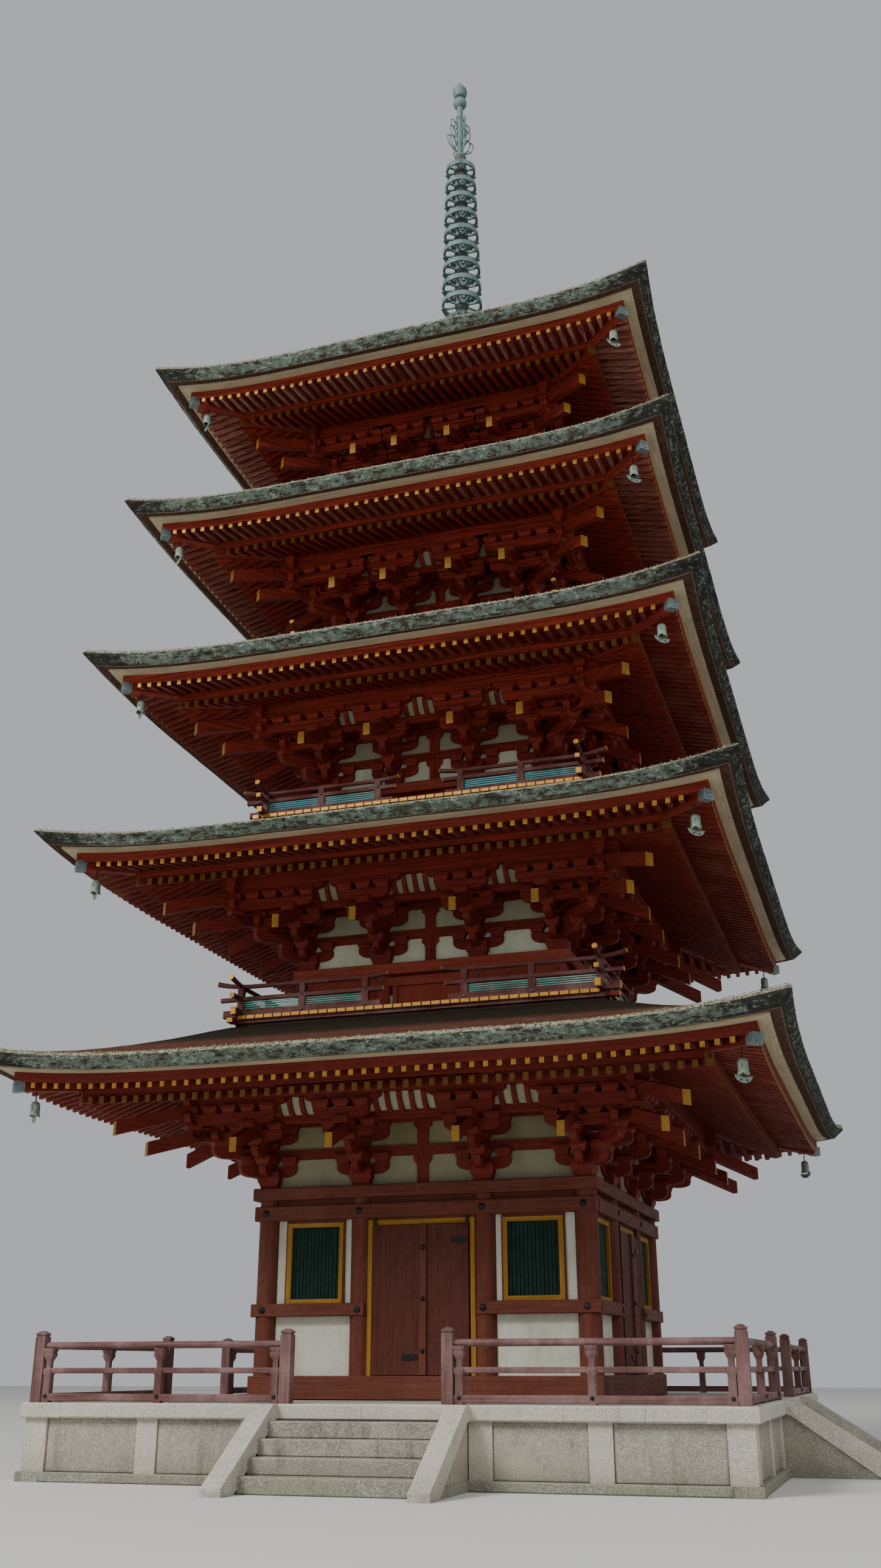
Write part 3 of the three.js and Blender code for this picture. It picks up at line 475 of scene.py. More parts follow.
def stoneFinish(name, look):
    tree, shader = newFinish(name, specular=0.3)
    place, _, z = reachNode(tree)
    speck = noiseNode(tree, stretchNode(tree, place, (55.0, 55.0, 55.0)), 1.0, 3.0, 0.8)
    colour = mixNode(tree, rampNode(tree, speck, 0.44, 0.62), seen(*look["grain"]), seen(*look["base"]))
    warm = noiseNode(tree, stretchNode(tree, place, (1.1, 1.1, 1.7)), 1.0, 7.0, 0.7)
    colour = mixNode(tree, mathNode(tree, "MULTIPLY", rampNode(tree, warm, 0.45, 0.7), 0.5), colour,
                     seen(*look["warm"]))
    streak = noiseNode(tree, stretchNode(tree, place, (4.0, 4.0, 0.7)), 1.0, 6.0, 0.7)
    dirt = mathNode(tree, "MULTIPLY", rampNode(tree, streak, 0.5, 0.74), look["stain"])
    colour = mixNode(tree, dirt, colour, seen(86, 84, 74))
    low = addNode(tree, "ShaderNodeMapRange")
    feed(tree, z, low.inputs["Value"])
    low.inputs["From Min"].default_value = 0.45
    low.inputs["From Max"].default_value = 0.0
    darkening = mathNode(tree, "MULTIPLY", low.outputs["Result"], rampNode(tree, warm, 0.35, 0.6))
    colour = mixNode(tree, mathNode(tree, "MULTIPLY", darkening, 0.5), colour, seen(94, 98, 74))
    feed(tree, colour, shader.inputs["Base Color"])
    roughen(tree, shader, speck, 0.75, 0.95)
    emboss(tree, shader, mathNode(tree, "ADD", speck, warm), 0.004, 0.5)


for finishName, look in timberFinishes.items():
    timberFinish(finishName, look)
for finishName, look in metalFinishes.items():
    metalFinish(finishName, look)
for finishName, look in stoneFinishes.items():
    stoneFinish(finishName, look)
for finishName, look in plasterFinishes.items():
    plasterFinish(finishName, look)
barkTopFinish()
barkEdgeFinish("barkEdge", 0.555)
barkEdgeFinish("barkLow", 0.500)
for finishName, look in barkTones.items():
    barkToneFinish(finishName, look)
print("finishes made:", len(finishes))

# First seed of the random draws of each kind of piece
seedOf = {
    "eaves": 20, "shell": 40, "roof": 60, "brackets": 80, "balcony": 100, "walls": 120, "frame": 140,
    "wall": 150, "leaf": 170, "platform": 200, "coping": 201, "stair": 210, "platformRail": 220,
    "finialBase": 240, "finialRings": 241, "finialCrown": 242,
}


def quarterTurn(points, side):
    x, y, z = points[:, 0], points[:, 1], points[:, 2]
    spots = [(x, y), (-y, x), (-x, -y), (y, -x)][side % 4]
    return np.stack([spots[0], spots[1], z], axis=1)


# The parts of a pile put end to end, one array for each kind of value
def joined(parts):
    return [np.concatenate(column) for column in zip(*parts)]


# Collects simple closed shapes, each with its finish and the direction of its grain
class Pile:
    def __init__(self, seed):
        self.random = random.Random(seed)
        self.parts = []
        self.finishes = []
        self.count = 0

    def mark(self, finish):
        if finish not in self.finishes:
            self.finishes.append(finish)
        return self.finishes.index(finish)

    # A closed shape from corner points and faces, its grain running along one direction
    def add(self, points, faces, finish, along=(1, 0, 0)):
        points = np.array(points, dtype=float)
        sizes = np.array([len(face) for face in faces])
        corners = np.array([corner for face in faces for corner in face])
        marks = np.full(len(faces), self.mark(finish))
        grain = np.tile(np.array(along, dtype=float), (len(faces), 1))
        self.store(points, corners, sizes, marks, grain)

    def store(self, points, corners, sizes, marks, grain):
        shift = np.tile([self.random.uniform(0, 20), self.random.uniform(0, 20)], (len(sizes), 1))
        self.parts.append((points, corners + self.count, sizes, marks, grain, shift))
        self.count += len(points)

    # A mesh grown by Geometry Nodes; its grain runs "out" from the axis, "side" ways or "up"
    def addMesh(self, mesh, run, blockSize=0):
        points = np.empty(len(mesh.vertices) * 3)
        mesh.vertices.foreach_get("co", points)
        points = points.reshape(-1, 3)
        corners = np.empty(len(mesh.loops), dtype=int)
        mesh.loops.foreach_get("vertex_index", corners)
        sizes = np.empty(len(mesh.polygons), dtype=int)
        mesh.polygons.foreach_get("loop_total", sizes)
        slots = np.empty(len(mesh.polygons), dtype=int)
        mesh.polygons.foreach_get("material_index", slots)
        coats = [coat.name for coat in mesh.materials if coat]
        marks = np.array([self.mark(coat.name if coat else coats[0]) for coat in mesh.materials])[slots]
        starts = np.concatenate(([0], np.cumsum(sizes)[:-1]))
        centre = np.add.reduceat(points[corners], starts) / sizes[:, None]
        facesFront = np.abs(centre[:, 1]) > np.abs(centre[:, 0])
        outward = np.where(facesFront[:, None], (0.0, 1.0, 0.0), (1.0, 0.0, 0.0))
        sideways = np.where(facesFront[:, None], (1.0, 0.0, 0.0), (0.0, 1.0, 0.0))
        upward = np.tile((0.0, 0.0, 1.0), (len(sizes), 1))
        grain = {"out": outward, "side": sideways, "up": upward}[run]
        self.store(points, corners, sizes, marks, grain)
        if blockSize:
            self.shiftBlocks(blockSize)
        bpy.data.meshes.remove(mesh)

    # Give each repeated shape of the last mesh its own stretch of grain
    def shiftBlocks(self, blockSize):
        points, corners, sizes, marks, grain, _ = self.parts[-1]
        block = np.arange(len(sizes)) // blockSize
        shift = np.stack([np.mod(block * 7.31, 23.0), np.mod(block * 3.77, 19.0)], axis=1)
        self.parts[-1] = (points, corners, sizes, marks, grain, shift)

    # Repeat the shapes added after a mark on the other sides of the tower
    def turn(self, start, sides=(1, 2, 3)):
        shapes = self.parts[start:]
        if not shapes:
            return
        points, corners, sizes, marks, grain, shift = joined(shapes)
        corners = corners - corners.min()
        for side in sides:
            turned = quarterTurn(points, side) - np.array((0.0, 0.0, 0.0004 * (side % 2)))
            turnedGrain = quarterTurn(grain, side)
            moved = shift + side * 5.3
            self.parts.append((turned, corners + self.count, sizes, marks, turnedGrain, moved))
            self.count += len(points)

    # Turn the whole pile from the front to face another side
    def faceTo(self, side):
        self.parts = [(quarterTurn(points, side), corners, sizes, marks, quarterTurn(grain, side), shift)
                      for points, corners, sizes, marks, grain, shift in self.parts]

    def build(self, name, sharp=35):
        points, corners, sizes, marks, grain, shift = joined(self.parts)
        starts = np.concatenate(([0], np.cumsum(sizes)[:-1]))
        mesh = bpy.data.meshes.new(name)
        mesh.vertices.add(len(points))
        mesh.vertices.foreach_set("co", points.ravel())
        mesh.loops.add(len(corners))
        mesh.loops.foreach_set("vertex_index", corners)
        mesh.polygons.add(len(sizes))
        mesh.polygons.foreach_set("loop_start", starts)
        mesh.polygons.foreach_set("material_index", marks)
        mesh.polygons.foreach_set("use_smooth", np.ones(len(sizes), dtype=bool))
        for finish in self.finishes:
            mesh.materials.append(finishes[finish])
        spots = points[corners]
        follow = np.arange(len(corners)) + 1
        follow[starts + sizes - 1] = starts
        normal = np.add.reduceat(np.cross(spots, spots[follow]), starts)
        normal /= np.maximum(np.linalg.norm(normal, axis=1), 1e-12)[:, None]
        across = np.cross(normal, grain)
        face = np.repeat(np.arange(len(sizes)), sizes)
        u = np.sum(spots * grain[face], axis=1) + shift[face, 0]
        v = np.sum(spots * across[face], axis=1) + shift[face, 1]
        layer = mesh.uv_layers.new(name="grain")
        layer.data.foreach_set("uv", np.stack([u, v], axis=1).ravel())
        mesh.update(calc_edges=True)
        shell = bmesh.new()
        shell.from_mesh(mesh)
        bmesh.ops.recalc_face_normals(shell, faces=shell.faces)
        shell.to_mesh(mesh)
        shell.free()
        mesh.set_sharp_from_angle(angle=math.radians(sharp))
        piece = bpy.data.objects.new(name, mesh)
        bpy.context.scene.collection.objects.link(piece)
        return piece


# Hand a finished piece over: the frame body it rides on and the nodes it stands for
def settle(piece, nodes, body="tower"):
    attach(piece, body)
    if nodes:
        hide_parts(*nodes)
    print(piece.name, "faces", len(piece.data.polygons))


# Box from its lowest to its highest corner
def addBox(pile, low, high, finish, along=None):
    (x0, y0, z0), (x1, y1, z1) = low, high
    points = [(x, y, z) for x in (x0, x1) for y in (y0, y1) for z in (z0, z1)]
    faces = [(0, 1, 3, 2), (4, 6, 7, 5), (0, 4, 5, 1), (2, 3, 7, 6), (0, 2, 6, 4), (1, 5, 7, 3)]
    if along is None:
        spans = (x1 - x0, y1 - y0, z1 - z0)
        along = [(1, 0, 0), (0, 1, 0), (0, 0, 1)][spans.index(max(spans))]
    pile.add(points, faces, finish, along)


# A box on the front side, given by its reaches
def frontBox(pile, xs, reaches, zs, finish, along=None):
    addBox(pile, (xs[0], -reaches[1], zs[0]), (xs[1], -reaches[0], zs[1]), finish, along)


# Join rings of equal size into a closed tube with capped ends
def addLoft(pile, rings, finish, along, capped=True):
    size = len(rings[0])
    points = [point for ring in rings for point in ring]
    faces = []
    for j in range(len(rings) - 1):
        for i in range(size):
            k = (i + 1) % size
            faces.append((j * size + i, j * size + k, (j + 1) * size + k, (j + 1) * size + i))
    last = (len(rings) - 1) * size
    if capped:
        faces += [tuple(range(size)), tuple(range(last, last + size))]
    else:
        faces += [(last + i, last + (i + 1) % size, (i + 1) % size, i) for i in range(size)]
    pile.add(points, faces, finish, along)


# Section of a timber with eased edges, as (reach, height)
def easedSection(reaches, zs, ease):
    (r0, r1), (z0, z1) = reaches, zs
    e = min(ease, (r1 - r0) / 3, (z1 - z0) / 3)
    return [(r0 + e, z0), (r1 - e, z0), (r1, z0 + e), (r1, z1 - e), (r1 - e, z1), (r0 + e, z1),
            (r0, z1 - e), (r0, z0 + e)]


# Level square ring about a point on the front side
def squareRing(x, reach, half, z):
    return [(x - half, -reach - half, z), (x + half, -reach - half, z), (x + half, -reach + half, z),
            (x - half, -reach + half, z)]


# Timber with eased edges that runs level along x on the front side
def addBeam(pile, xs, reaches, zs, finish, ease=0.012):
    rings = [[(x, -r, z) for r, z in easedSection(reaches, zs, ease)] for x in xs]
    addLoft(pile, rings, finish, (1, 0, 0))


# Square ring of level timbers with eased edges, mitred at the corners
def addSquare(pile, reaches, zs, finish, ease=0.012):
    outline = easedSection(reaches, zs, ease)
    addSweep(pile, outline, [finish] * len(outline), [-1, 1])


# Outline of (along, up) points given a thickness; place turns (along, across, up) into a point
def addPlate(pile, outline, half, finish, place, along):
    count = len(outline)
    points = [place(a, -half, b) for a, b in outline] + [place(a, half, b) for a, b in outline]
    faces = [tuple(range(count)), tuple(range(count, 2 * count))]
    for i in range(count):
        k = (i + 1) % count
        faces.append((i, k, count + k, count + i))
    pile.add(points, faces, finish, along)


def outOn(x):
    return lambda a, b, c: (x + b, -a, c)


def sideOn(reach):
    return lambda a, b, c: (a, -(reach + b), c)


def diagonalOn():
    half = math.sqrt(0.5)
    return lambda a, b, c: ((a + b) * half, (b - a) * half, c)


# Four-sided block that stands on a tapered, hollowed foot
def addBlock(pile, x, reach, half, zs, finish, footShare=0.72, sideShare=0.42):
    low, high = zs
    middle = high - (high - low) * sideShare
    levels = [(low, footShare), (low + (middle - low) * 0.35, footShare + 0.06),
              (low + (middle - low) * 0.75, footShare + 0.17), (middle, 1.0), (high, 1.0)]
    addLoft(pile, [squareRing(x, reach, half * share, z) for z, share in levels], finish, (1, 0, 0))


# Bracket arm: straight on top, its ends upright and then rounded to the underside
def armOutline(low, high, halfLength):
    roundLength, roundShare, points = 0.20, 0.62, 5
    right = []
    for i in range(points):
        angle = math.pi / 2 * i / (points - 1)
        right.append((halfLength - roundLength * (1 - math.sin(angle)),
                      low + roundShare * (high - low) * (1 - math.cos(angle))))
    right.append((halfLength, high))
    left = [(-x, z) for x, z in reversed(right)]
    return right + left


# Round column
def addColumn(pile, x, y, radius, zs, finish, sides=24, swell=0.0):
    rings = []
    steps = [0.0, 1.0] if swell == 0 else [0.0, 0.25, 0.5, 0.75, 1.0]
    for step in steps:
        r = radius - swell * step * step
        z = zs[0] + (zs[1] - zs[0]) * step
        rings.append([(x + r * math.cos(2 * math.pi * i / sides), y + r * math.sin(2 * math.pi * i / sides),
                       z)
                      for i in range(sides)])
    addLoft(pile, rings, finish, (0, 0, 1))


# Round bar through a row of points
def addRod(pile, path, radius, finish, sides=12, radii=None):
    path = [Vector(point) for point in path]
    rings = []
    for i, point in enumerate(path):
        before = path[max(i - 1, 0)]
        after = path[min(i + 1, len(path) - 1)]
        heading = (after - before).normalized()
        level = Vector((0, 0, 1)) if abs(heading.z) < 0.9 else Vector((1, 0, 0))
        across = heading.cross(level).normalized()
        over = across.cross(heading)
        r = radii[i] if radii else radius
        rings.append([tuple(point + across * r * math.cos(2 * math.pi * k / sides)
                            + over * r * math.sin(2 * math.pi * k / sides)) for k in range(sides)])
    addLoft(pile, rings, finish, tuple((path[-1] - path[0]).normalized()))


# Timber of rectangular section between two points, its top kept level across
def addStick(pile, start, end, width, height, finish):
    start, end = Vector(start), Vector(end)
    heading = (end - start).normalized()
    across = heading.cross(Vector((0, 0, 1))).normalized() * (width / 2)
    over = across.normalized().cross(heading) * (height / 2)
    rings = [[tuple(point + across * a + over * b) for a, b in ((-1, -1), (1, -1), (1, 1), (-1, 1))]
             for point in (start, end)]
    addLoft(pile, rings, finish, tuple(heading))


# Outline of (radius, z) points turned about an upright axis
def addTurned(pile, outline, finish, centre=(0, 0), sides=32):
    rings = []
    for radius, z in outline:
        r = max(radius, 0.001)
        rings.append([(centre[0] + r * math.cos(2 * math.pi * i / sides),
                       centre[1] + r * math.sin(2 * math.pi * i / sides), z) for i in range(sides)])
    addLoft(pile, rings, finish, (0, 0, 1))


# Closed (reach, z) profile swept round the four sides and bent with the eaves
def addSweep(pile, profile, finishOf, shares, bend=lambda reach, z, share: (reach, z)):
    size = len(profile)
    points, grain = [], []
    for side in range(4):
        run = quarterTurn(np.array([[1.0, 0.0, 0.0]]), side)
        for share in shares[:-1]:
            ring = []
            for reach, z in profile:
                bentReach, bentZ = bend(reach, z, abs(share))
                ring.append((share * bentReach, -bentReach, bentZ))
            points.append(quarterTurn(np.array(ring), side))
            grain.append(np.tile(run, (size, 1)))
    count = len(points)
    corners = []
    for j in range(count):
        n = (j + 1) % count
        for i in range(size):
            k = (i + 1) % size
            corners.append((j * size + i, j * size + k, n * size + k, n * size + i))
    marks = np.tile([pile.mark(name) for name in finishOf], count)
    pile.store(np.concatenate(points), np.array(corners).ravel(), np.full(count * size, 4), marks,
               np.concatenate(grain))






# Arithmetic on the fields of a Geometry Nodes tree
class Field:
    def __init__(self, tree, socket):
        self.tree = tree
        self.socket = socket

    def apply(self, operation, other=None):
        node = self.tree.nodes.new("ShaderNodeMath")
        node.operation = operation
        self.tree.links.new(self.socket, node.inputs[0])
        if isinstance(other, Field):
            self.tree.links.new(other.socket, node.inputs[1])
        elif other is not None:
            node.inputs[1].default_value = other
        return Field(self.tree, node.outputs[0])

    def __add__(self, other):
        return self.apply("ADD", other)

    def __sub__(self, other):
        return self.apply("SUBTRACT", other)

    def __mul__(self, other):
        return self.apply("MULTIPLY", other)

    def __truediv__(self, other):
        return self.apply("DIVIDE", other)

    def atLeast(self, other):
        return self.apply("MAXIMUM", other)

    def size(self):
        return self.apply("ABSOLUTE")

    def cubed(self):
        return self.apply("POWER", 3.0)


# A Geometry Nodes tree under construction
class Tree:
    def __init__(self, name, inputs):
        self.group = bpy.data.node_groups.new(name, "GeometryNodeTree")
        self.group.interface.new_socket("Geometry", in_out="INPUT", socket_type="NodeSocketGeometry")
        self.group.interface.new_socket("Geometry", in_out="OUTPUT", socket_type="NodeSocketGeometry")
        for label, kind, value in inputs:
            socket = self.group.interface.new_socket(label, in_out="INPUT", socket_type=kind)
            if value is not None:
                socket.default_value = value
        self.nodes = self.group.nodes
        self.source = self.node("NodeGroupInput")
        self.sink = self.node("NodeGroupOutput")

    def node(self, kind, **values):
        made = self.nodes.new(kind)
        for name, value in values.items():
            setattr(made, name, value)
        return made

    def link(self, source, target):
        self.group.links.new(source.socket if isinstance(source, Field) else source, target)

    def value(self, label):
        return Field(self.group, self.source.outputs[label])

    def vector(self, x, y, z):
        made = self.node("ShaderNodeCombineXYZ")
        for socket, part in zip(made.inputs, (x, y, z)):
            if isinstance(part, (int, float)):
                socket.default_value = part
            else:
                self.link(part, socket)
        return made.outputs[0]

    def position(self):
        split = self.node("ShaderNodeSeparateXYZ")
        self.link(self.node("GeometryNodeInputPosition").outputs[0], split.inputs[0])
        return [Field(self.group, split.outputs[axis]) for axis in "XYZ"]

    # A row of unit cubes along x, one every pitch, centred on x = 0
    def rowOfCubes(self, cuts):
        cube = self.node("GeometryNodeMeshCube")
        cube.inputs["Vertices Y"].default_value = cuts
        size = self.vector(self.value("Width"), 1.0, self.value("Height"))
        self.link(size, cube.inputs["Size"])
        row = self.node("GeometryNodeMeshLine")
        self.link(self.value("Count"), row.inputs["Count"])
        self.link(self.vector(self.value("Pitch"), 0.0, 0.0), row.inputs["Offset"])
        first = (self.value("Count") - 1.0) * self.value("Pitch") * -0.5
        self.link(self.vector(first, 0.0, 0.0), row.inputs["Start Location"])
        put = self.node("GeometryNodeInstanceOnPoints")
        self.link(row.outputs["Mesh"], put.inputs["Points"])
        self.link(cube.outputs["Mesh"], put.inputs["Instance"])
        loose = self.node("GeometryNodeRealizeInstances")
        self.link(put.outputs["Instances"], loose.inputs["Geometry"])
        return loose.outputs["Geometry"]

    def setPosition(self, geometry, position):
        made = self.node("GeometryNodeSetPosition")
        self.link(geometry, made.inputs["Geometry"])
        self.link(position, made.inputs["Position"])
        return made.outputs["Geometry"]

    # The same shape on all four sides of the tower
    def onFourSides(self, geometry):
        ring = self.node("GeometryNodePoints")
        ring.inputs["Count"].default_value = 4
        index = Field(self.group, self.node("GeometryNodeInputIndex").outputs[0])
        put = self.node("GeometryNodeInstanceOnPoints")
        self.link(ring.outputs[0], put.inputs["Points"])
        self.link(geometry, put.inputs["Instance"])
        self.link(self.vector(0.0, 0.0, index * (math.pi / 2)), put.inputs["Rotation"])
        return put.outputs["Instances"]

    def finish(self, geometry):
        loose = self.node("GeometryNodeRealizeInstances")
        self.link(geometry, loose.inputs["Geometry"])
        coat = self.node("GeometryNodeSetMaterial")
        self.link(loose.outputs["Geometry"], coat.inputs["Geometry"])
        self.link(self.source.outputs["Finish"], coat.inputs["Material"])
        self.link(coat.outputs["Geometry"], self.sink.inputs["Geometry"])
        return self.group


# Evaluate a tree with its inputs set and hand back a plain mesh
def grow(group, inputs, base=None):
    mesh = base or bpy.data.meshes.new("seed")
    holder = bpy.data.objects.new("seed", mesh)
    bpy.context.scene.collection.objects.link(holder)
    modifier = holder.modifiers.new("grow", "NODES")
    modifier.node_group = group
    for item in group.interface.items_tree:
        if item.in_out == "INPUT" and item.name in inputs:
            value = inputs[item.name]
            modifier[item.identifier] = finishes[value] if item.name == "Finish" else value
    bpy.context.view_layer.update()
    graph = bpy.context.evaluated_depsgraph_get()
    grown = bpy.data.meshes.new_from_object(holder.evaluated_get(graph), depsgraph=graph)
    holder.modifiers.remove(modifier)
    bpy.data.objects.remove(holder)
    bpy.data.meshes.remove(mesh)
    return grown


# Row of sloping timbers under the eaves. Each runs outwards from the inner reach or from the hip,
# whichever is nearer to the eaves, and rises with the eaves towards the corners.
def eaveRowTree():
    tree = Tree("eaveRow", [
        ("Count", "NodeSocketInt", 5), ("Pitch", "NodeSocketFloat", 0.19),
        ("Width", "NodeSocketFloat", 0.085), ("Height", "NodeSocketFloat", 0.12),
        ("Inner reach", "NodeSocketFloat", 3.0), ("Outer reach", "NodeSocketFloat", 4.0),
        ("Outer z", "NodeSocketFloat", 1.2), ("Slope", "NodeSocketFloat", 0.36),
        ("Hip clearance", "NodeSocketFloat", 0.08), ("Edge", "NodeSocketFloat", 5.0),
        ("Purlin edge", "NodeSocketFloat", 3.5), ("Rise", "NodeSocketFloat", 0.255),
        ("Bow", "NodeSocketFloat", 0.075), ("Straight share", "NodeSocketFloat", 0.32),
        ("Base z", "NodeSocketFloat", 0.0), ("Finish", "NodeSocketMaterial", None)])
    row = tree.rowOfCubes(3)
    x, y, z = tree.position()
    inner = tree.value("Inner reach").atLeast(x.size() + tree.value("Hip clearance"))
    outer = tree.value("Outer reach")
    reach = inner + (outer - inner) * (y * -1.0 + 0.5)
    share = x.size() / reach
    reached = ((share - tree.value("Straight share")).atLeast(0.0)
               / (tree.value("Straight share") * -1.0 + 1.0)).cubed()
    over = (reach - tree.value("Purlin edge")).atLeast(0.0)
    run = over / (tree.value("Edge") - tree.value("Purlin edge"))
    weight = run.cubed()
    far = reach + tree.value("Bow") * reached * weight * weight * run * run
    up = (z + tree.value("Base z") + tree.value("Outer z") + tree.value("Slope") * (outer - reach)
          + tree.value("Rise") * reached * weight)
    placed = tree.setPosition(row, tree.vector(x, far * -1.0, up))
    return tree.finish(tree.onFourSides(placed))


# Row of upright or lying boxes on one side: window bars, slats, boards and joist ends
def plainRowTree():
    tree = Tree("plainRow", [
        ("Count", "NodeSocketInt", 5), ("Pitch", "NodeSocketFloat", 0.19),
        ("Width", "NodeSocketFloat", 0.085), ("Height", "NodeSocketFloat", 0.12),
        ("Depth", "NodeSocketFloat", 0.05), ("Centre", "NodeSocketVector", (0.0, 0.0, 0.0)),
        ("Finish", "NodeSocketMaterial", None)])
    row = tree.rowOfCubes(2)
    x, y, z = tree.position()
    shift = tree.node("ShaderNodeVectorMath", operation="ADD")
    tree.link(tree.vector(x, y * tree.value("Depth"), z), shift.inputs[0])
    tree.link(tree.source.outputs["Centre"], shift.inputs[1])
    placed = tree.setPosition(row, shift.outputs[0])
    return tree.finish(placed)


# Loose bark ends scattered along a line at the top of the eaves on all four sides
def fringeTree():
    tree = Tree("barkEnds", [
        ("Count", "NodeSocketInt", 300), ("Reach", "NodeSocketFloat", 5.0),
        ("Foot z", "NodeSocketFloat", 1.5), ("Lean", "NodeSocketFloat", 0.5),
        ("Rise", "NodeSocketFloat", 0.255), ("Bow", "NodeSocketFloat", 0.075),
        ("Straight share", "NodeSocketFloat", 0.32), ("Spread", "NodeSocketFloat", 0.02),
        ("Seed", "NodeSocketInt", 1), ("Finish", "NodeSocketMaterial", None)])
    row = tree.node("GeometryNodePoints")
    tree.link(tree.value("Count"), row.inputs["Count"])
    index = Field(tree.group, tree.node("GeometryNodeInputIndex").outputs[0])
    place = tree.node("FunctionNodeRandomValue", data_type="FLOAT_VECTOR")
    place.inputs[0].default_value = (-1.0, -1.0, -1.0)
    place.inputs[1].default_value = (1.0, 1.0, 1.0)
    tree.link(tree.value("Seed"), place.inputs["Seed"])
    split = tree.node("ShaderNodeSeparateXYZ")
    tree.link(place.outputs[0], split.inputs[0])
    jitter = [Field(tree.group, split.outputs[axis]) for axis in "XYZ"]
    share = (index + 0.5 + jitter[0] * 0.4) / tree.value("Count") * 2.0 - 1.0
    reached = ((share.size() - tree.value("Straight share")).atLeast(0.0)
               / (tree.value("Straight share") * -1.0 + 1.0)).cubed()
    reach = tree.value("Reach") + tree.value("Bow") * reached
    far = reach + jitter[1] * tree.value("Spread")
    up = tree.value("Foot z") + tree.value("Rise") * reached + jitter[2] * tree.value("Spread")
    line = tree.setPosition(row.outputs[0], tree.vector(share * reach, far * -1.0, up))
    chip = tree.node("GeometryNodeMeshCone")
    chip.inputs["Vertices"].default_value = 3
    chip.inputs["Radius Top"].default_value = 0.0
    chip.inputs["Radius Bottom"].default_value = 0.011
    chip.inputs["Depth"].default_value = 0.028
    put = tree.node("GeometryNodeInstanceOnPoints")
    tree.link(line, put.inputs["Points"])
    tree.link(chip.outputs["Mesh"], put.inputs["Instance"])
    twist = tree.node("FunctionNodeRandomValue", data_type="FLOAT_VECTOR")
    twist.inputs[0].default_value = (-0.90, -0.90, -1.20)
    twist.inputs[1].default_value = (0.90, 0.90, 1.20)
    tree.link(tree.value("Seed") + 7.0, twist.inputs["Seed"])
    turn = tree.node("ShaderNodeVectorMath", operation="ADD")
    tree.link(twist.outputs[0], turn.inputs[0])
    tree.link(tree.vector(tree.value("Lean"), 0.0, 0.0), turn.inputs[1])
    tree.link(turn.outputs[0], put.inputs["Rotation"])
    grade = tree.node("FunctionNodeRandomValue", data_type="FLOAT_VECTOR")
    grade.inputs[0].default_value = (0.5, 0.5, 0.4)
    grade.inputs[1].default_value = (1.3, 1.1, 1.2)
    tree.link(tree.value("Seed") + 13.0, grade.inputs["Seed"])
    tree.link(grade.outputs[0], put.inputs["Scale"])
    loose = tree.node("GeometryNodeRealizeInstances")
    tree.link(put.outputs["Instances"], loose.inputs["Geometry"])
    return tree.finish(tree.onFourSides(loose.outputs["Geometry"]))


eaveRow = eaveRowTree()
plainRow = plainRowTree()
barkEnds = fringeTree()


# A plain row added to a pile, its grain along the boxes' longest side
def addRow(pile, count, pitch, width, depth, height, centre, finish, run="up"):
    mesh = grow(plainRow, {"Count": count, "Pitch": pitch, "Width": width, "Depth": depth,
                           "Height": height, "Centre": centre, "Finish": finish})
    pile.addMesh(mesh, run, 6)


def addEaveRow(pile, storey, look, finish):
    mesh = grow(eaveRow, {
        "Count": look["count"], "Pitch": storey.pitch, "Width": look["width"], "Height": look["height"],
        "Inner reach": look["inner"], "Outer reach": look["outer"], "Outer z": look["z"],
        "Slope": look["slope"], "Hip clearance": look["hip"], "Edge": storey.edge,
        "Purlin edge": storey.purlinEdge, "Rise": eave["rise"], "Bow": eave["bow"],
        "Straight share": eave["straightShare"], "Base z": storey.base, "Finish": finish})
    pile.addMesh(mesh, "out", 10)


# Visual grid of shares along a side, finer towards the corners where the eaves turn up
def sideShares(count):
    crowding = 1.15
    even = [-1 + 2 * i / count for i in range(count + 1)]
    return [math.copysign(1 - (1 - abs(s)) ** crowding, s) for s in even]


eaveLook = {
    "baseWidth": 0.078, "baseHeight": 0.108, "flyWidth": 0.067, "flyHeight": 0.076,
    "flySlope": 0.245, "plate": 0.001, "face": 0.001, "rim": 0.014,
    "baseEnd": 1.095, "flyEnd": 0.452, "boards": 0.022,
    "hipHalf": 0.073, "baseHip": (1.144, 1.080, 1.262), "flyingHip": (0.443, 1.183, 1.330),
    "capLength": 0.100,
    "bellInset": 0.680, "bellTop": 1.066, "bellHook": 1.215, "bellHeight": 0.226,
    "crescent": (0.142, 0.098),
}


# One row of rafters with a gilt plate and a raised field on every end
def addRafters(pile, storey, outer, inner, z, slope, width, height, paint, rim, field):
    count = 2 * int((outer - 0.30) / storey.pitch) + 2
    row = {"count": count, "width": width, "height": height, "inner": inner, "outer": outer, "z": z,
           "slope": slope, "hip": 0.105}
    addEaveRow(pile, storey, row, paint)
    plate = dict(row, width=width + 0.001, height=height + 0.001, inner=outer - 0.002,
                 outer=outer + eaveLook["plate"], hip=-0.2)
    addEaveRow(pile, storey, plate, rim)
    face = dict(row, width=width - eaveLook["rim"], height=height - eaveLook["rim"],
                inner=outer + eaveLook["plate"] - 0.001, outer=outer + eaveLook["plate"] + eaveLook["face"],
                hip=-0.2)
    addEaveRow(pile, storey, face, field)


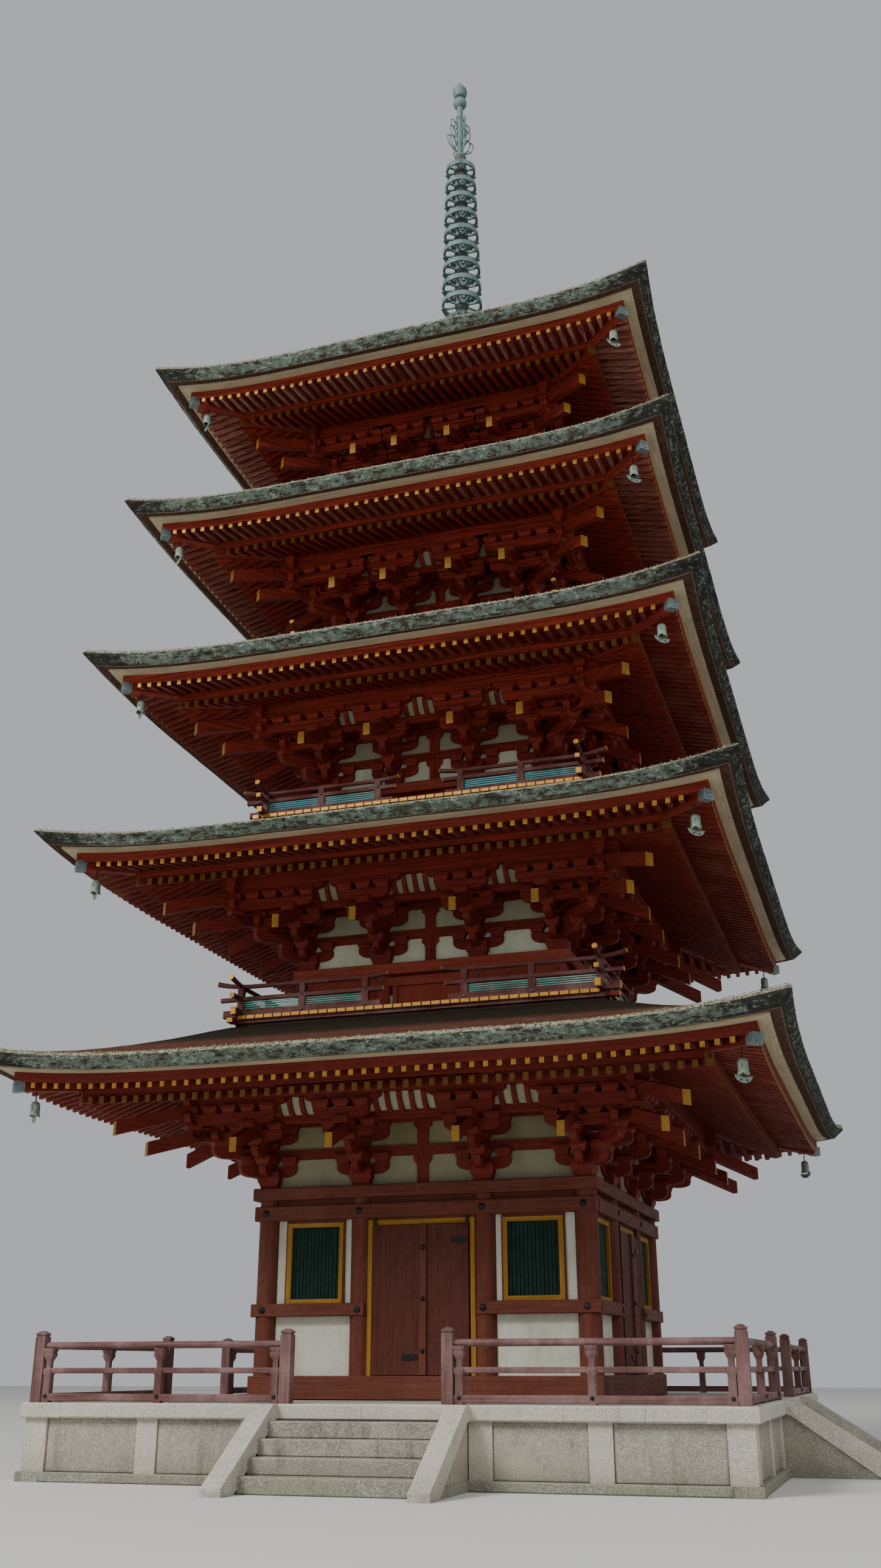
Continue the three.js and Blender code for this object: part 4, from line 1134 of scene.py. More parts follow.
# Hip rafters under the corner, the lower one gilt and the upper one capped in metal, with a wind bell below
def addHip(pile, storey):
    root = math.sqrt(2)
    look = eaveLook
    pe, base, half = storey.purlinEdge - 0.25, storey.base, look["hipHalf"]
    inset, low, high = look["baseHip"]
    middle = storey.edge - inset
    place = diagonalOn()
    along = (math.sqrt(0.5), -math.sqrt(0.5), 0)

    def block(outline, thick, finish):
        addPlate(pile, [(a * root, base + z) for a, z in outline], thick, finish, place, along)

    block([(pe, storey.soffit(pe) - 0.13), (middle, low), (middle, high), (pe, storey.soffit(pe) + 0.04)],
          half,
          "redPaint")
    for grown, depth, finish in ((0.001, 0.003, "shadedGilt"), (-0.012, 0.005, "shadedGilt")):
        block([(middle - 0.004, low - grown), (middle + depth, low - grown), (middle + depth, high + grown),
               (middle - 0.004, high + grown)], half + grown, finish)
    inset, low, high = look["flyingHip"]
    end = storey.edge - inset
    block([(middle, look["baseHip"][2]), (end, low), (end, high), (middle, high + 0.11)], half, "redPaint")
    back = end - look["capLength"]
    block([(back, low + 0.004), (back + 0.03, low - 0.002), (end + 0.004, low - 0.010),
           (end + 0.004, high + 0.003),
           (back, high + 0.006)], half + 0.008, "capMetal")
    for share in (0.2, 0.62):
        z = low + (high - low) * share
        block([(end + 0.001, z), (end + 0.010, z), (end + 0.010, z + 0.030), (end + 0.001, z + 0.030)],
              half - 0.02,
              "capMetal")
    addBell(pile, storey.edge - look["bellInset"], base + look["bellTop"], base + look["bellHook"])


# Wind bell under a hip: rod, domed bell with a scalloped mouth, clapper plate shaped like a crescent
def addBell(pile, spot, top, hook):
    h = eaveLook["bellHeight"]
    addRod(pile, [(spot, -spot, hook + 0.02), (spot, -spot, top - 0.01)], 0.009, "ironWork", 8)
    outline = ((0.001, 0.0, 0.0), (0.036, 0.004, 0.0), (0.058, 0.020, 0.0), (0.067, 0.046, 0.0),
               (0.070, 0.052, 0.0),
               (0.068, 0.058, 0.0), (0.070, 0.165, 0.0), (0.082, h, 0.026), (0.072, h - 0.002, 0.026),
               (0.060, 0.130, 0.0), (0.001, 0.128, 0.0))
    rings = []
    for radius, drop, lift in outline:
        turns = [2 * math.pi * i / 24 for i in range(24)]
        rings.append([(spot + radius * math.cos(t), -spot + radius * math.sin(t),
                       top - drop + lift * (0.5 + 0.5 * math.cos(4 * t))) for t in turns])
    addLoft(pile, rings, "bellBronze", (0, 0, 1))
    addColumn(pile, spot, -spot, 0.058, (top - 0.150, top - 0.126), "ironWork", 12)
    addRod(pile, [(spot, -spot, top - 0.14), (spot, -spot, top - h - 0.01)], 0.006, "ironWork", 6)
    for x, y in ((0.0, -1.0), (1.0, 0.0), (0.0, 1.0), (-1.0, 0.0)):
        addColumn(pile, spot + 0.065 * x, -spot + 0.065 * y, 0.007, (top - 0.125, top - 0.078), "ironWork", 6)
    wide, tall = eaveLook["crescent"]
    crest = top - h - 0.004
    turns = [math.pi * i / 10 for i in range(11)]
    crescent = [(wide * math.cos(t), crest + 0.012 - tall * math.sin(t)) for t in turns]
    crescent += [(-wide * 0.80 * math.cos(t), crest + 0.004 - tall * 0.14 * math.sin(t)) for t in turns]
    half = math.sqrt(0.5)
    place = lambda a, b, c: (spot + (a + b) * half, -spot + (a - b) * half, c)
    addPlate(pile, crescent, 0.004, "bellBronze", place, (half, half, 0))
    for x in (-wide * 0.34, wide * 0.34):
        hole = [(x + 0.014 * math.cos(t * 2),
                 crest - tall * 0.50 + 0.014 * math.sin(t * 2)) for t in turns[:-1]]
        addPlate(pile, hole, 0.0055, "ironWork", place, (half, half, 0))


def makeEaves(storey):
    pile = Pile(seedOf["eaves"] + storey.number)
    edge, base = storey.edge, storey.base
    outer = edge - eaveLook["baseEnd"]
    z = storey.soffit(outer) - eaveLook["baseHeight"] * 0.53 - 0.001
    # The base rafter ends take the darker gilt, painted shade under the eaves.
    addRafters(pile, storey, outer, storey.purlinEdge - 0.25, z, eave["baseSlope"], eaveLook["baseWidth"],
               eaveLook["baseHeight"], "redPaint", "shadedGilt", "shadedGilt")
    outer = edge - eaveLook["flyEnd"]
    z = storey.flyingSoffit(outer) - eaveLook["flyHeight"] * 0.52 - 0.002
    addRafters(pile, storey, outer, edge - eave["baseInset"] - 0.02, z, eaveLook["flySlope"],
               eaveLook["flyWidth"], eaveLook["flyHeight"], "flyPaint", "giltRim", "giltPlate")
    start = len(pile.parts)
    addHip(pile, storey)
    pile.turn(start)

    def ring(outline, finish, step=24):
        profile = [(edge - inset, base + z) for inset, z in outline]
        addSweep(pile, profile, [finish] * len(profile), sideShares(step), lambda r, z,
                 s: lifted(storey, r, z, s))

    boards = eaveLook["boards"]
    baseRow = eave["baseInset"]
    toPurlin = edge - storey.purlinEdge + 0.25
    ring([(toPurlin, storey.soffit(edge - toPurlin)), (baseRow, eave["baseZ"]),
          (baseRow, eave["baseZ"] + boards), (toPurlin, storey.soffit(edge - toPurlin) + boards)], "redPaint")
    z = eave["baseZ"]
    ring([(baseRow + 0.10, z + 0.036), (baseRow + 0.012, z + 0.001), (baseRow, z + 0.007),
          (baseRow, z + 0.112),
          (baseRow + 0.012, z + 0.118), (baseRow + 0.10, z + 0.140)], "redPaint")
    ring([(baseRow + 0.045, z + 0.10), (baseRow + 0.020, z + 0.10),
          (baseRow + 0.020, eave["flyingInner"] + 0.012),
          (baseRow + 0.045, eave["flyingInner"] + 0.012)], "redPaint")
    fly = eave["boardFoot"]
    ring([(baseRow + 0.01, eave["flyingInner"]), (fly, eave["board"][0]), (fly, eave["board"][0] + boards),
          (baseRow + 0.01, eave["flyingInner"] + boards)], "redPaint")
    low, high = eave["board"]
    face = eave["boardInset"]
    ring([(fly + 0.115, low + 0.028), (fly, low), (face, low + 0.003), (face, low + 0.068),
          (face + 0.003, low + 0.070),
          (face + 0.003, low + 0.074), (face, low + 0.076), (face, high), (fly + 0.115, high + 0.035)],
          "redPaint")
    inset = eave["creamInset"]
    low, high = eave["cream"]
    ring([(face + 0.06, eave["board"][1]), (face - 0.006, eave["board"][1]), (inset, low),
          (inset - 0.003, high - 0.004),
          (inset, high), (face + 0.06, high + 0.03)], "creamBoard")
    near, far = storey.line - 0.075, storey.line + 0.075
    if storey.isTop:
        top = [storey.bark(near) - 0.24, storey.bark(far) - 0.24]
        ring([(edge - far, storey.soffit(far)), (edge - near, storey.soffit(near)), (edge - near, top[0]),
              (edge - far, top[1])], "redPaint", 2)
    else:
        deck = tower["joist"][storey.number] - 0.065 - base
        ring([(edge - far, storey.soffit(far)), (edge - near, storey.soffit(near)), (edge - near, deck),
              (edge - far, deck)], "redPaint", 2)
    piece = pile.build(f"eavesTimber{storey.number}")
    settle(piece, [f"eaves_{storey.number}"])


def lifted(storey, reach, z, share):
    bentReach, bentZ = storey.bend(reach, z - storey.base, share)
    return bentReach, bentZ + storey.base


# Moves the points of a shell in and out by fixed-seed noise, in the manner of old bark
def barkWearTree():
    tree = Tree("barkWear", [
        ("Amount", "NodeSocketFloat", 0.02), ("Scale", "NodeSocketFloat", 3.0),
        ("Layer", "NodeSocketFloat", 10.0), ("Highest", "NodeSocketFloat", 100.0)])
    place = tree.node("GeometryNodeInputPosition")
    stretched = tree.node("ShaderNodeVectorMath", operation="MULTIPLY")
    tree.link(place.outputs[0], stretched.inputs[0])
    tree.link(tree.vector(1.0, 1.0, tree.value("Layer")), stretched.inputs[1])
    noise = tree.node("ShaderNodeTexNoise", noise_dimensions="3D")
    tree.link(stretched.outputs[0], noise.inputs["Vector"])
    tree.link(tree.value("Scale"), noise.inputs["Scale"])
    noise.inputs["Detail"].default_value = 5.0
    noise.inputs["Roughness"].default_value = 0.7
    shift = (Field(tree.group, noise.outputs["Fac"]) - 0.5) * tree.value("Amount") * 2.0
    normal = tree.node("GeometryNodeInputNormal")
    scaled = tree.node("ShaderNodeVectorMath", operation="SCALE")
    tree.link(normal.outputs[0], scaled.inputs[0])
    tree.link(shift, scaled.inputs["Scale"])
    move = tree.node("GeometryNodeSetPosition")
    tree.link(tree.source.outputs["Geometry"], move.inputs["Geometry"])
    tree.link(scaled.outputs[0], move.inputs["Offset"])
    tree.link(move.outputs["Geometry"], tree.sink.inputs["Geometry"])
    return tree.group


barkWear = barkWearTree()

# Two shares of the run out from the inner end mark the rows of painted deep shade and painted half shade
# under the balcony.
roofLook = {"stations": 96, "rows": 22, "wear": 0.016, "fringePerMetre": 66, "fringeSeed": 31,
            "worn": [0.0, 0.042, 0.012, 0.012, 0.0], "wornReach": 0.8, "crowding": 0.8,
            "darkening": 0.34, "halfShadeShare": 0.46, "grainScale": 2.6, "grainLayer": 4.0, "spread": 0.009,
            "fringe": ((-0.012, 0.058, 1.10), (-0.034, 0.032, 1.45))}


# Bark roof: a shell with a worn cut edge, its outer surface hollowed and turned up at the corners
def makeRoof(storey):
    edge, base = storey.edge, storey.base
    thick = eave["barkThick"]
    inner = storey.innerReach
    foot = edge - eave["creamInset"]
    profile, names = [], []

    def place(reach, z, finish):
        profile.append((reach, base + z))
        names.append(finish)

    crest = edge - eave["shoulder"]
    worn = roofLook["worn"][storey.number - 1]
    top = storey.bark(crest) - worn
    for share in (0.0, 0.25, 0.5, 0.75):
        place(edge - 0.010 - (eave["barkLean"] - 0.010) * share,
              eave["barkFace"] - (eave["barkFace"] - eave["barkFoot"]) * share,
              "barkEdge" if share < 0.7 else "barkLow")
    place(edge - eave["barkLean"] + 0.008, eave["barkFoot"] + 0.008, "barkLip")
    place(edge - eave["barkLean"], eave["barkFoot"], "barkLip")
    place(edge - eave["barkLean"] - 0.012, eave["barkFoot"] + 0.003, "barkUnder")
    place(foot + 0.05, eave["cream"][1] - 0.022, "barkUnder")
    place(foot - 0.05, eave["cream"][1] + 0.012, "barkUnder")
    under = edge - eave["baseInset"]
    for share in (0.0, 0.2, 0.4, 0.6, 0.8):
        reach = under + (inner + 0.10 - under) * share
        place(reach, storey.bark(reach) - thick, "barkUnder")
    if storey.isTop:
        place(inner + 0.10, storey.bark(inner + 0.10) - thick, "barkUnder")
        place(0.34, storey.innerZ - 0.29, "barkUnder")
        place(0.34, storey.innerZ - 0.010, "barkCourses")
    else:
        place(inner, storey.innerZ - thick, "barkUnder")
    # Rows near the inner end carry painted shade from the balcony above: deep shade innermost, then half
    # shade.
    for i in range(roofLook["rows"]):
        reach = inner + (crest - inner) * (i / (roofLook["rows"] - 1)) ** roofLook["crowding"]
        depth = 1.0 if storey.isTop else (reach - inner) / (crest - inner)
        place(reach, storey.bark(reach) - 0.004 - worn * max(0.0,
                                                             1 - (crest - reach) / roofLook["wornReach"]),
              "barkDeepShade" if depth < roofLook["darkening"] else
              "barkHalfShade" if depth < roofLook["halfShadeShare"] else "barkCourses")
    names[-1] = "barkRim"
    for back, drop, finish in ((0.045, 0.012, "barkRim"), (0.022, 0.034, "barkRim"),
                               (0.012, 0.058, "barkLow")):
        place(edge - back, top - drop + 0.5 * worn * drop / 0.06, finish)
    pile = Pile(seedOf["shell"] + storey.number)
    addSweep(pile, profile, names, sideShares(roofLook["stations"]), lambda r, z, s: lifted(storey, r, z, s))
    shell = pile.build(f"barkShell{storey.number}")
    shellMesh = shell.data
    bpy.data.objects.remove(shell)
    oldBark = grow(barkWear, {"Amount": roofLook["wear"], "Scale": roofLook["grainScale"],
                              "Layer": roofLook["grainLayer"]}, shellMesh)
    pile = Pile(seedOf["roof"] + storey.number)
    pile.addMesh(oldBark, "side")
    count = int(8 * edge / 4 * roofLook["fringePerMetre"])
    for layer, (dz, back, lean) in enumerate(roofLook["fringe"]):
        mesh = grow(barkEnds, {
            "Count": count, "Reach": edge - back, "Foot z": base + top + dz,
            "Lean": lean, "Rise": eave["rise"], "Bow": eave["bow"], "Straight share": eave["straightShare"],
            "Spread": roofLook["spread"], "Seed": roofLook["fringeSeed"] + 5 * storey.number + layer,
            "Finish": "barkFringe"})
        pile.addMesh(mesh, "out", 4)
    piece = pile.build(f"barkRoof{storey.number}", 50)
    settle(piece, [f"roof_{storey.number}"])


for storey in storeys:
    makeEaves(storey)
    makeRoof(storey)
print("eaves and roofs made")


# Bracket sets: heights above the wall plate, distances out from the column line
setLook = {
    "armHalf": 0.055, "armLength": 0.422, "lowBlock": 0.175, "block": 0.125,
    "arm": (0.170, 0.335), "armTwo": (0.423, 0.588), "bandOne": (0.423, 0.577), "bandTwo": (0.918, 1.072),
    "wallArmTwo": (0.665, 0.830), "stepArm": (0.650, 0.810), "stepBeam": (0.880, 1.010),
    "ceiling": (1.004, 1.022), "purlinArm": (0.873, 1.040), "bolster": (1.130, 1.240),
    "purlinLow": 1.240, "tailHalf": 0.098, "tailSlope": 0.42, "bolsterHalf": 0.600,
    "past": 0.106, "bandPast": 0.78, "beamPast": 0.16, "purlinPast": 0.26, "diagonalHalf": 0.065,
    "lowBlockZ": (0.0, 0.255), "armBlock": (0.333, 0.470), "wallBlock": (0.575, 0.700),
    "topBlock": (0.828, 0.965), "midBlock": (0.586, 0.690), "tailBlock": (0.795, 0.900),
    "stepBlock": (0.808, 0.900), "endBlock": (0.810, 0.885), "purlinBlock": (1.038, 1.150),
    # tip beyond the column line, height of the tip, start beyond the column line
    "sideTail": (1.476, 0.491, -0.05), "diagonalTails": ((1.438, 0.491, 0.0), (1.798, 0.762, 0.0)),
}


# Upright gilt plate with a raised field on the square end of a sloping timber
def addTailEnd(pile, tip, centre, half, place, slope, along, high):
    tall = high * math.hypot(1.0, slope)
    for grown, depth, finish in ((0.0006, 0.003, "giltRim"), (-0.013, 0.006, "tailGilt")):
        side = tall + grown
        outline = [(tip - 0.004, centre - side), (tip + depth, centre - side), (tip + depth, centre + side),
                   (tip - 0.004, centre + side)]
        addPlate(pile, outline, half + grown, finish, place, along)


# Sloping tail rafter from inside the wall to its gilt tip
def addTail(pile, tip, centre, back, half, place, along, scale, base, origin):
    slope, high = setLook["tailSlope"], setLook["tailHalf"]
    flat = slope / scale

    def spot(d, offset):
        reach = (origin + tip) * scale - d
        return (reach, base + centre + flat * d + offset * math.hypot(1.0, flat))

    length = (tip - back) * scale
    outline = [spot(length, -high), spot(0.0, -high), spot(0.0, high), spot(length, high)]
    addPlate(pile, outline, half, "redPaint", place, along)
    addTailEnd(pile, (origin + tip) * scale, base + centre, half, place, flat, along, high)


# An arm lying along x on the front side, with blocks on top where named
def addArm(pile, x, reach, zs, halfLength, base, blocks, blockTop):
    look = setLook
    outline = [(x + a, z) for a, z in armOutline(base + zs[0], base + zs[1], halfLength)]
    addPlate(pile, outline, look["armHalf"], "redPaint", sideOn(reach), (1, 0, 0))
    for spot in blocks:
        addBlock(pile, x + spot, reach, look["block"], (base + zs[1] - 0.002, base + blockTop), "redPaint")


# An arm that steps out from the wall
def addOutArm(pile, x, line, zs, back, tip, base):
    low, high = base + zs[0], base + zs[1]
    half = [(a, z) for a, z in armOutline(low, high, tip) if a > 0]
    outline = [(line + a, z) for a, z in half] + [(line + back, high), (line + back, low)]
    addPlate(pile, outline, setLook["armHalf"], "redPaint", outOn(x), (0, 1, 0))


# Arm over a corner, longer on its outer side where it crosses the other side's arm
def addCornerArm(pile, x, reach, zs, inward, outward, base):
    hand = math.copysign(1, x)
    low, high = base + zs[0], base + zs[1]
    inner = [(a, z) for a, z in armOutline(low, high, inward) if a < 0]
    outer = [(a, z) for a, z in armOutline(low, high, outward) if a > 0]
    outline = [(x + hand * a, z) for a, z in outer + inner]
    addPlate(pile, outline, setLook["armHalf"], "redPaint", sideOn(reach), (1, 0, 0))


# Large block on the column, and one of the small blocks on the arms
def addLowBlock(pile, x, storey):
    low, high = setLook["lowBlockZ"]
    addBlock(pile, x, storey.line, setLook["lowBlock"], (storey.base + low, storey.base + high), "redPaint",
             0.74, 0.55)


def addSmallBlock(pile, x, reach, base, name):
    low, high = setLook[name]
    addBlock(pile, x, reach, setLook["block"], (base + low, base + high), "redPaint")


# Bracket set of an inner column that stands at x on the front side
def addSideSet(pile, storey, x):
    c, base, look, step = storey.line, storey.base, setLook, eave["step"]
    past = look["past"]

    def arm(reach, name, blockName):
        addArm(pile, x, reach, look[name], look["armLength"], base, (-step, 0.0, step), look[blockName][1])

    addLowBlock(pile, x, storey)
    arm(c, "arm", "armBlock")
    arm(c, "wallArmTwo", "topBlock")
    addSmallBlock(pile, x, c, base, "wallBlock")
    addOutArm(pile, x, c, look["arm"], -0.30, step + past, base)
    addSmallBlock(pile, x, c + step, base, "armBlock")
    addOutArm(pile, x, c, look["armTwo"], -0.10, 2 * step + past, base)
    addSmallBlock(pile, x, c + 2 * step, base, "midBlock")
    arm(c + 2 * step, "stepArm", "stepBlock")
    addTail(pile, *look["sideTail"], look["armHalf"], outOn(x), (0, 1, 0), 1.0, base, c)
    addSmallBlock(pile, x, c + 3 * step, base, "tailBlock")
    arm(c + 3 * step, "purlinArm", "purlinBlock")
    low, high = look["bolster"]
    bolster = [(x + a, z) for a, z in armOutline(base + low, base + high, look["bolsterHalf"])]
    addPlate(pile, bolster, look["armHalf"], "redPaint", sideOn(c + 3 * step), (1, 0, 0))


# This side's share of a corner set. What lies on the crossing itself is made by one side only.
def addCornerShare(pile, storey, hand):
    c, base, look, step = storey.line, storey.base, setLook, eave["step"]
    x = hand * c
    own = hand > 0
    past = look["past"]
    if own:
        addLowBlock(pile, x, storey)
        for name in ("armBlock", "wallBlock", "topBlock"):
            addSmallBlock(pile, x, c, base, name)

    def arm(reach, name, outward):
        addCornerArm(pile, x, reach, look[name], look["armLength"], outward, base)

    def blocks(reach, spots, name):
        for spot in spots:
            addSmallBlock(pile, x + hand * spot, reach, base, name)

    arm(c, "arm", step + past)
    blocks(c, (-step, step), "armBlock")
    arm(c, "wallArmTwo", step + past)
    blocks(c, (-step, step), "topBlock")
    blocks(c + 2 * step, (0.0,), "midBlock")
    arm(c + 2 * step, "stepArm", 2 * step + 0.210)
    blocks(c + 2 * step, (-step, 0.0, step) + ((2 * step,) if own else ()), "stepBlock")
    addTail(pile, *look["sideTail"], look["armHalf"], outOn(x), (0, 1, 0), 1.0, base, c)
    blocks(c + 3 * step, (0.0,), "tailBlock")
    arm(c + 3 * step, "purlinArm", 3 * step + 0.210)
    blocks(c + 3 * step, (-step, 0.0, step, 2 * step) + ((3 * step,) if own else ()), "purlinBlock")
    addCornerArm(pile, x, c + 3 * step, look["bolster"], look["bolsterHalf"], 3 * step + 0.260, base)


# Corner set: arms crossing past each other on both sides, with two diagonal tails
def addCornerSet(pile, storey):
    c, base, look, step = storey.line, storey.base, setLook, eave["step"]
    root, place = math.sqrt(2), diagonalOn()
    along = (math.sqrt(0.5), -math.sqrt(0.5), 0)
    for reach, zs in ((step, look["arm"]), (2 * step, look["armTwo"]), (3 * step - 0.06, look["stepArm"])):
        tip = (c + reach) * root + 0.10
        low, high = base + zs[0], base + zs[1]
        outline = [(c * root - 0.2, low)]
        outline += [(tip - 0.26 + a, z) for a, z in armOutline(low, high, 0.26) if a > 0]
        outline += [(c * root - 0.2, high)]
        addPlate(pile, outline, look["diagonalHalf"], "redPaint", place, along)
    for tail in look["diagonalTails"]:
        addTail(pile, *tail, look["diagonalHalf"], place, along, root, base, c)
    for steps, name in ((1, "armBlock"), (2, "midBlock"), (3, "endBlock")):
        low, high = look[name]
        addDiagonalBlock(pile, (c + steps * step) * root, base + low, base + high)


# Block turned to face along the diagonal
def addDiagonalBlock(pile, distance, low, high):
    half = setLook["block"]
    place = diagonalOn()
    rings = []
    for z, share in ((low, 0.72), (low + (high - low) * 0.45, 0.86), (low + (high - low) * 0.6, 1.0),
                     (high, 1.0)):
        h = half * share
        rings.append([place(distance + a * h, b * h, z) for a, b in ((-1, -1), (1, -1), (1, 1), (-1, 1))])
    addLoft(pile, rings, "redPaint", (0.7, -0.7, 0))


ribLook = {"width": 0.035, "depth": 0.055, "steps": 6, "pitch": 0.190}


# Curved ribs over white plaster between the step beam and the purlin, one bay at a time
def addRibs(pile, storey, x0, x1):
    count = max(3, round((x1 - x0) / ribLook["pitch"]))
    c, base, step = storey.line, storey.base, eave["step"]
    low = (c + 2 * step + 0.050, base + 1.000)
    high = (c + 3 * step - 0.070, base + 1.262)

    def curve(share, lift):
        reach = low[0] + (high[0] - low[0]) * (1 - (1 - share) ** 1.5) + lift * 0.7
        z = low[1] + (high[1] - low[1]) * share ** 1.25 - lift * 0.7
        return reach, z

    steps = ribLook["steps"]
    sheet = [curve(i / steps, 0.0) for i in range(steps + 1)]
    back = [(r - 0.02, z + 0.02) for r, z in reversed(sheet)]
    half = (x1 - x0) / 2
    centre = (x0 + x1) / 2
    place = lambda a, b, z: (centre + b, -a, z)
    # The plaster sheet behind the ribs is darkened with painted shade.
    addPlate(pile, sheet + back, half, "shadedBandPlaster", place, (1, 0, 0))
    pitch = (x1 - x0) / count
    for i in range(count + 1):
        x = x0 + pitch * i
        rib = [curve(k / steps, ribLook["depth"]) for k in range(steps + 1)]
        rib += [curve(k / steps, -0.01) for k in range(steps, -1, -1)]
        addPlate(pile, rib, ribLook["width"], "redPaint", outOn(x), (0, 1, 0))


# Short post with a flared, rounded head between two wall beams, as (half width, share of the height)
strutShape = ((0.087, 0.0), (0.087, 0.58), (0.092, 0.66), (0.104, 0.73), (0.124, 0.78), (0.138, 0.79),
              (0.143, 0.86), (0.143, 1.0))


def addStrut(pile, storey, x, zs):
    low, high = storey.base + zs[0], storey.base + zs[1]
    right = [(half, low + (high - low) * share) for half, share in strutShape]
    outline = [(x + a, z) for a, z in right] + [(x - a, z) for a, z in reversed(right)]
    addPlate(pile, outline, 0.045, "redPaint", sideOn(storey.line), (0, 0, 1))


def makeBrackets(storey):
    pile = Pile(seedOf["brackets"] + storey.number)
    c, base, look, step = storey.line, storey.base, setLook, eave["step"]
    inner = storey.inner
    for x in (-inner, inner):
        addSideSet(pile, storey, x)
    for hand in (-1, 1):
        addCornerShare(pile, storey, hand)
    addCornerSet(pile, storey)
    low, high = look["bandOne"]
    band = armOutline(base + low, base + high, c + 2 * step + look["past"])
    addPlate(pile, band, look["armHalf"], "redPaint", sideOn(c), (1, 0, 0))
    for end, reach, name in ((c + look["bandPast"], c, "bandTwo"),
                             (c + 2 * step + look["beamPast"], c + 2 * step, "stepBeam")):
        addBeam(pile, (-end, end), (reach - look["armHalf"], reach + look["armHalf"]),
                [base + z for z in look[name]], "redPaint")
    reach, half = c + 3 * step, eave["purlinHalf"]
    purlinEnd = reach + look["purlinPast"]
    addBeam(pile, (-purlinEnd, purlinEnd), (reach - half, reach + half),
            (base + look["purlinLow"], base + storey.soffit(reach + half) - 0.004), "redPaint", 0.016)
    for zs in ((0.0, look["bandOne"][0]), (look["bandOne"][1], look["bandTwo"][0])):
        addStrut(pile, storey, 0.0, zs)
    addRibs(pile, storey, -inner + 0.10, inner - 0.10)
    for hand in (-1, 1):
        ends = sorted((hand * (inner + 0.10), hand * (c - 0.02)))
        addRibs(pile, storey, ends[0], ends[1])
        ends = sorted((hand * (c + 0.06), hand * (c + 2 * step - 0.03)))
        addRibs(pile, storey, ends[0], ends[1])
    pile.turn(0)
    near, far = c - 0.030, c + 0.012
    # Plaster darkened with painted shade under the eaves, darkest on the first storey; the lower band of the
    # upper storeys keeps the plaster's own colour.
    lowCoat, highCoat = ("shadePlaster", "deepShadePlaster") if storey.isFirst else ("highPlaster", "shadedBandPlaster")
    addSweep(pile, [(near, base + 0.002), (far, base + 0.002), (far, base + 0.50), (far, base + 1.20),
                    (near, base + 1.20)], [lowCoat] * 2 + [highCoat] * 3, [-1, 1])
    low, high = look["ceiling"]
    addSweep(pile, [(c, base + low), (c + 2 * step, base + low), (c + 2 * step, base + high),
                    (c, base + high)],
             ["redPaint"] * 4, [-1, 1])
    piece = pile.build(f"bracketSets{storey.number}")
    settle(piece, [f"brackets_{storey.number}"])


for storey in storeys:
    makeBrackets(storey)
print("bracket sets made")


# Balcony measures in metres, heights from the centre of the joist ends
deckLook = {
    "boardPitch": 0.1545, "boardEnd": (0.136, 0.058), "boardZ": 0.056, "beam": (-0.030, 0.026),
    "skirt": (-0.098, -0.030),
    "deckLift": (0.0, 0.019, 0.060, 0.060, 0.060), "bottomFoot": 0.084,
    "bottomTop": (0.0, 0.220, 0.236, 0.236, 0.236),
    "midFoot": (0.0, 0.367, 0.392, 0.392, 0.392), "midHeight": 0.066,
    "topRail": (0.0, 0.600, 0.558, 0.558, 0.558),
    "topRadius": 0.036, "strut": 0.055, "slats": 4, "slatShare": 0.56,
    "intoGap": (0.20, 0.245, 0.30), "pastCorner": (0.29, 0.35, 0.41),
}


# Gilt cap on the end of a level rail, whose end lies at x on the front side
def addRailEnd(pile, x, reaches, zs, hand=1):
    for grown, depth, finish in ((0.002, 0.006, "giltRim"), (-0.010, 0.010, "giltPlate")):
        xs = sorted((x - hand * 0.004, x + hand * depth))
        frontBox(pile, xs, (reaches[0] - grown, reaches[1] + grown), (zs[0] - grown, zs[1] + grown), finish)


# Square rail with a joint cap at the corner end and a plain end at the gap
def addRail(pile, storey, hand, zs, half, gapEnd, cornerEnd, drop=0.0):
    reach = storey.rail
    xs = sorted((hand * (storey.gap - gapEnd), hand * (reach + cornerEnd)))
    low, high = storey.joist + zs[0] - drop, storey.joist + zs[1] - drop
    addBeam(pile, xs, (reach - half, reach + half), (low, high), "railPaint", 0.008)
    addRailEnd(pile, hand * (reach + cornerEnd), (reach - half, reach + half), (low, high), hand)


# Nail cover: a low iron dome on the face of a timber
def addDome(pile, x, reach, z, radius, finish="ironWork"):
    rings = []
    for share, out in ((1.0, -0.003), (1.0, 0.006), (0.82, 0.016), (0.45, 0.024), (0.12, 0.027)):
        rings.append([(x + radius * share * math.cos(2 * math.pi * i / 12), -(reach + out),
                       z + radius * share * math.sin(2 * math.pi * i / 12)) for i in range(12)])
    addLoft(pile, rings, finish, (1, 0, 0))


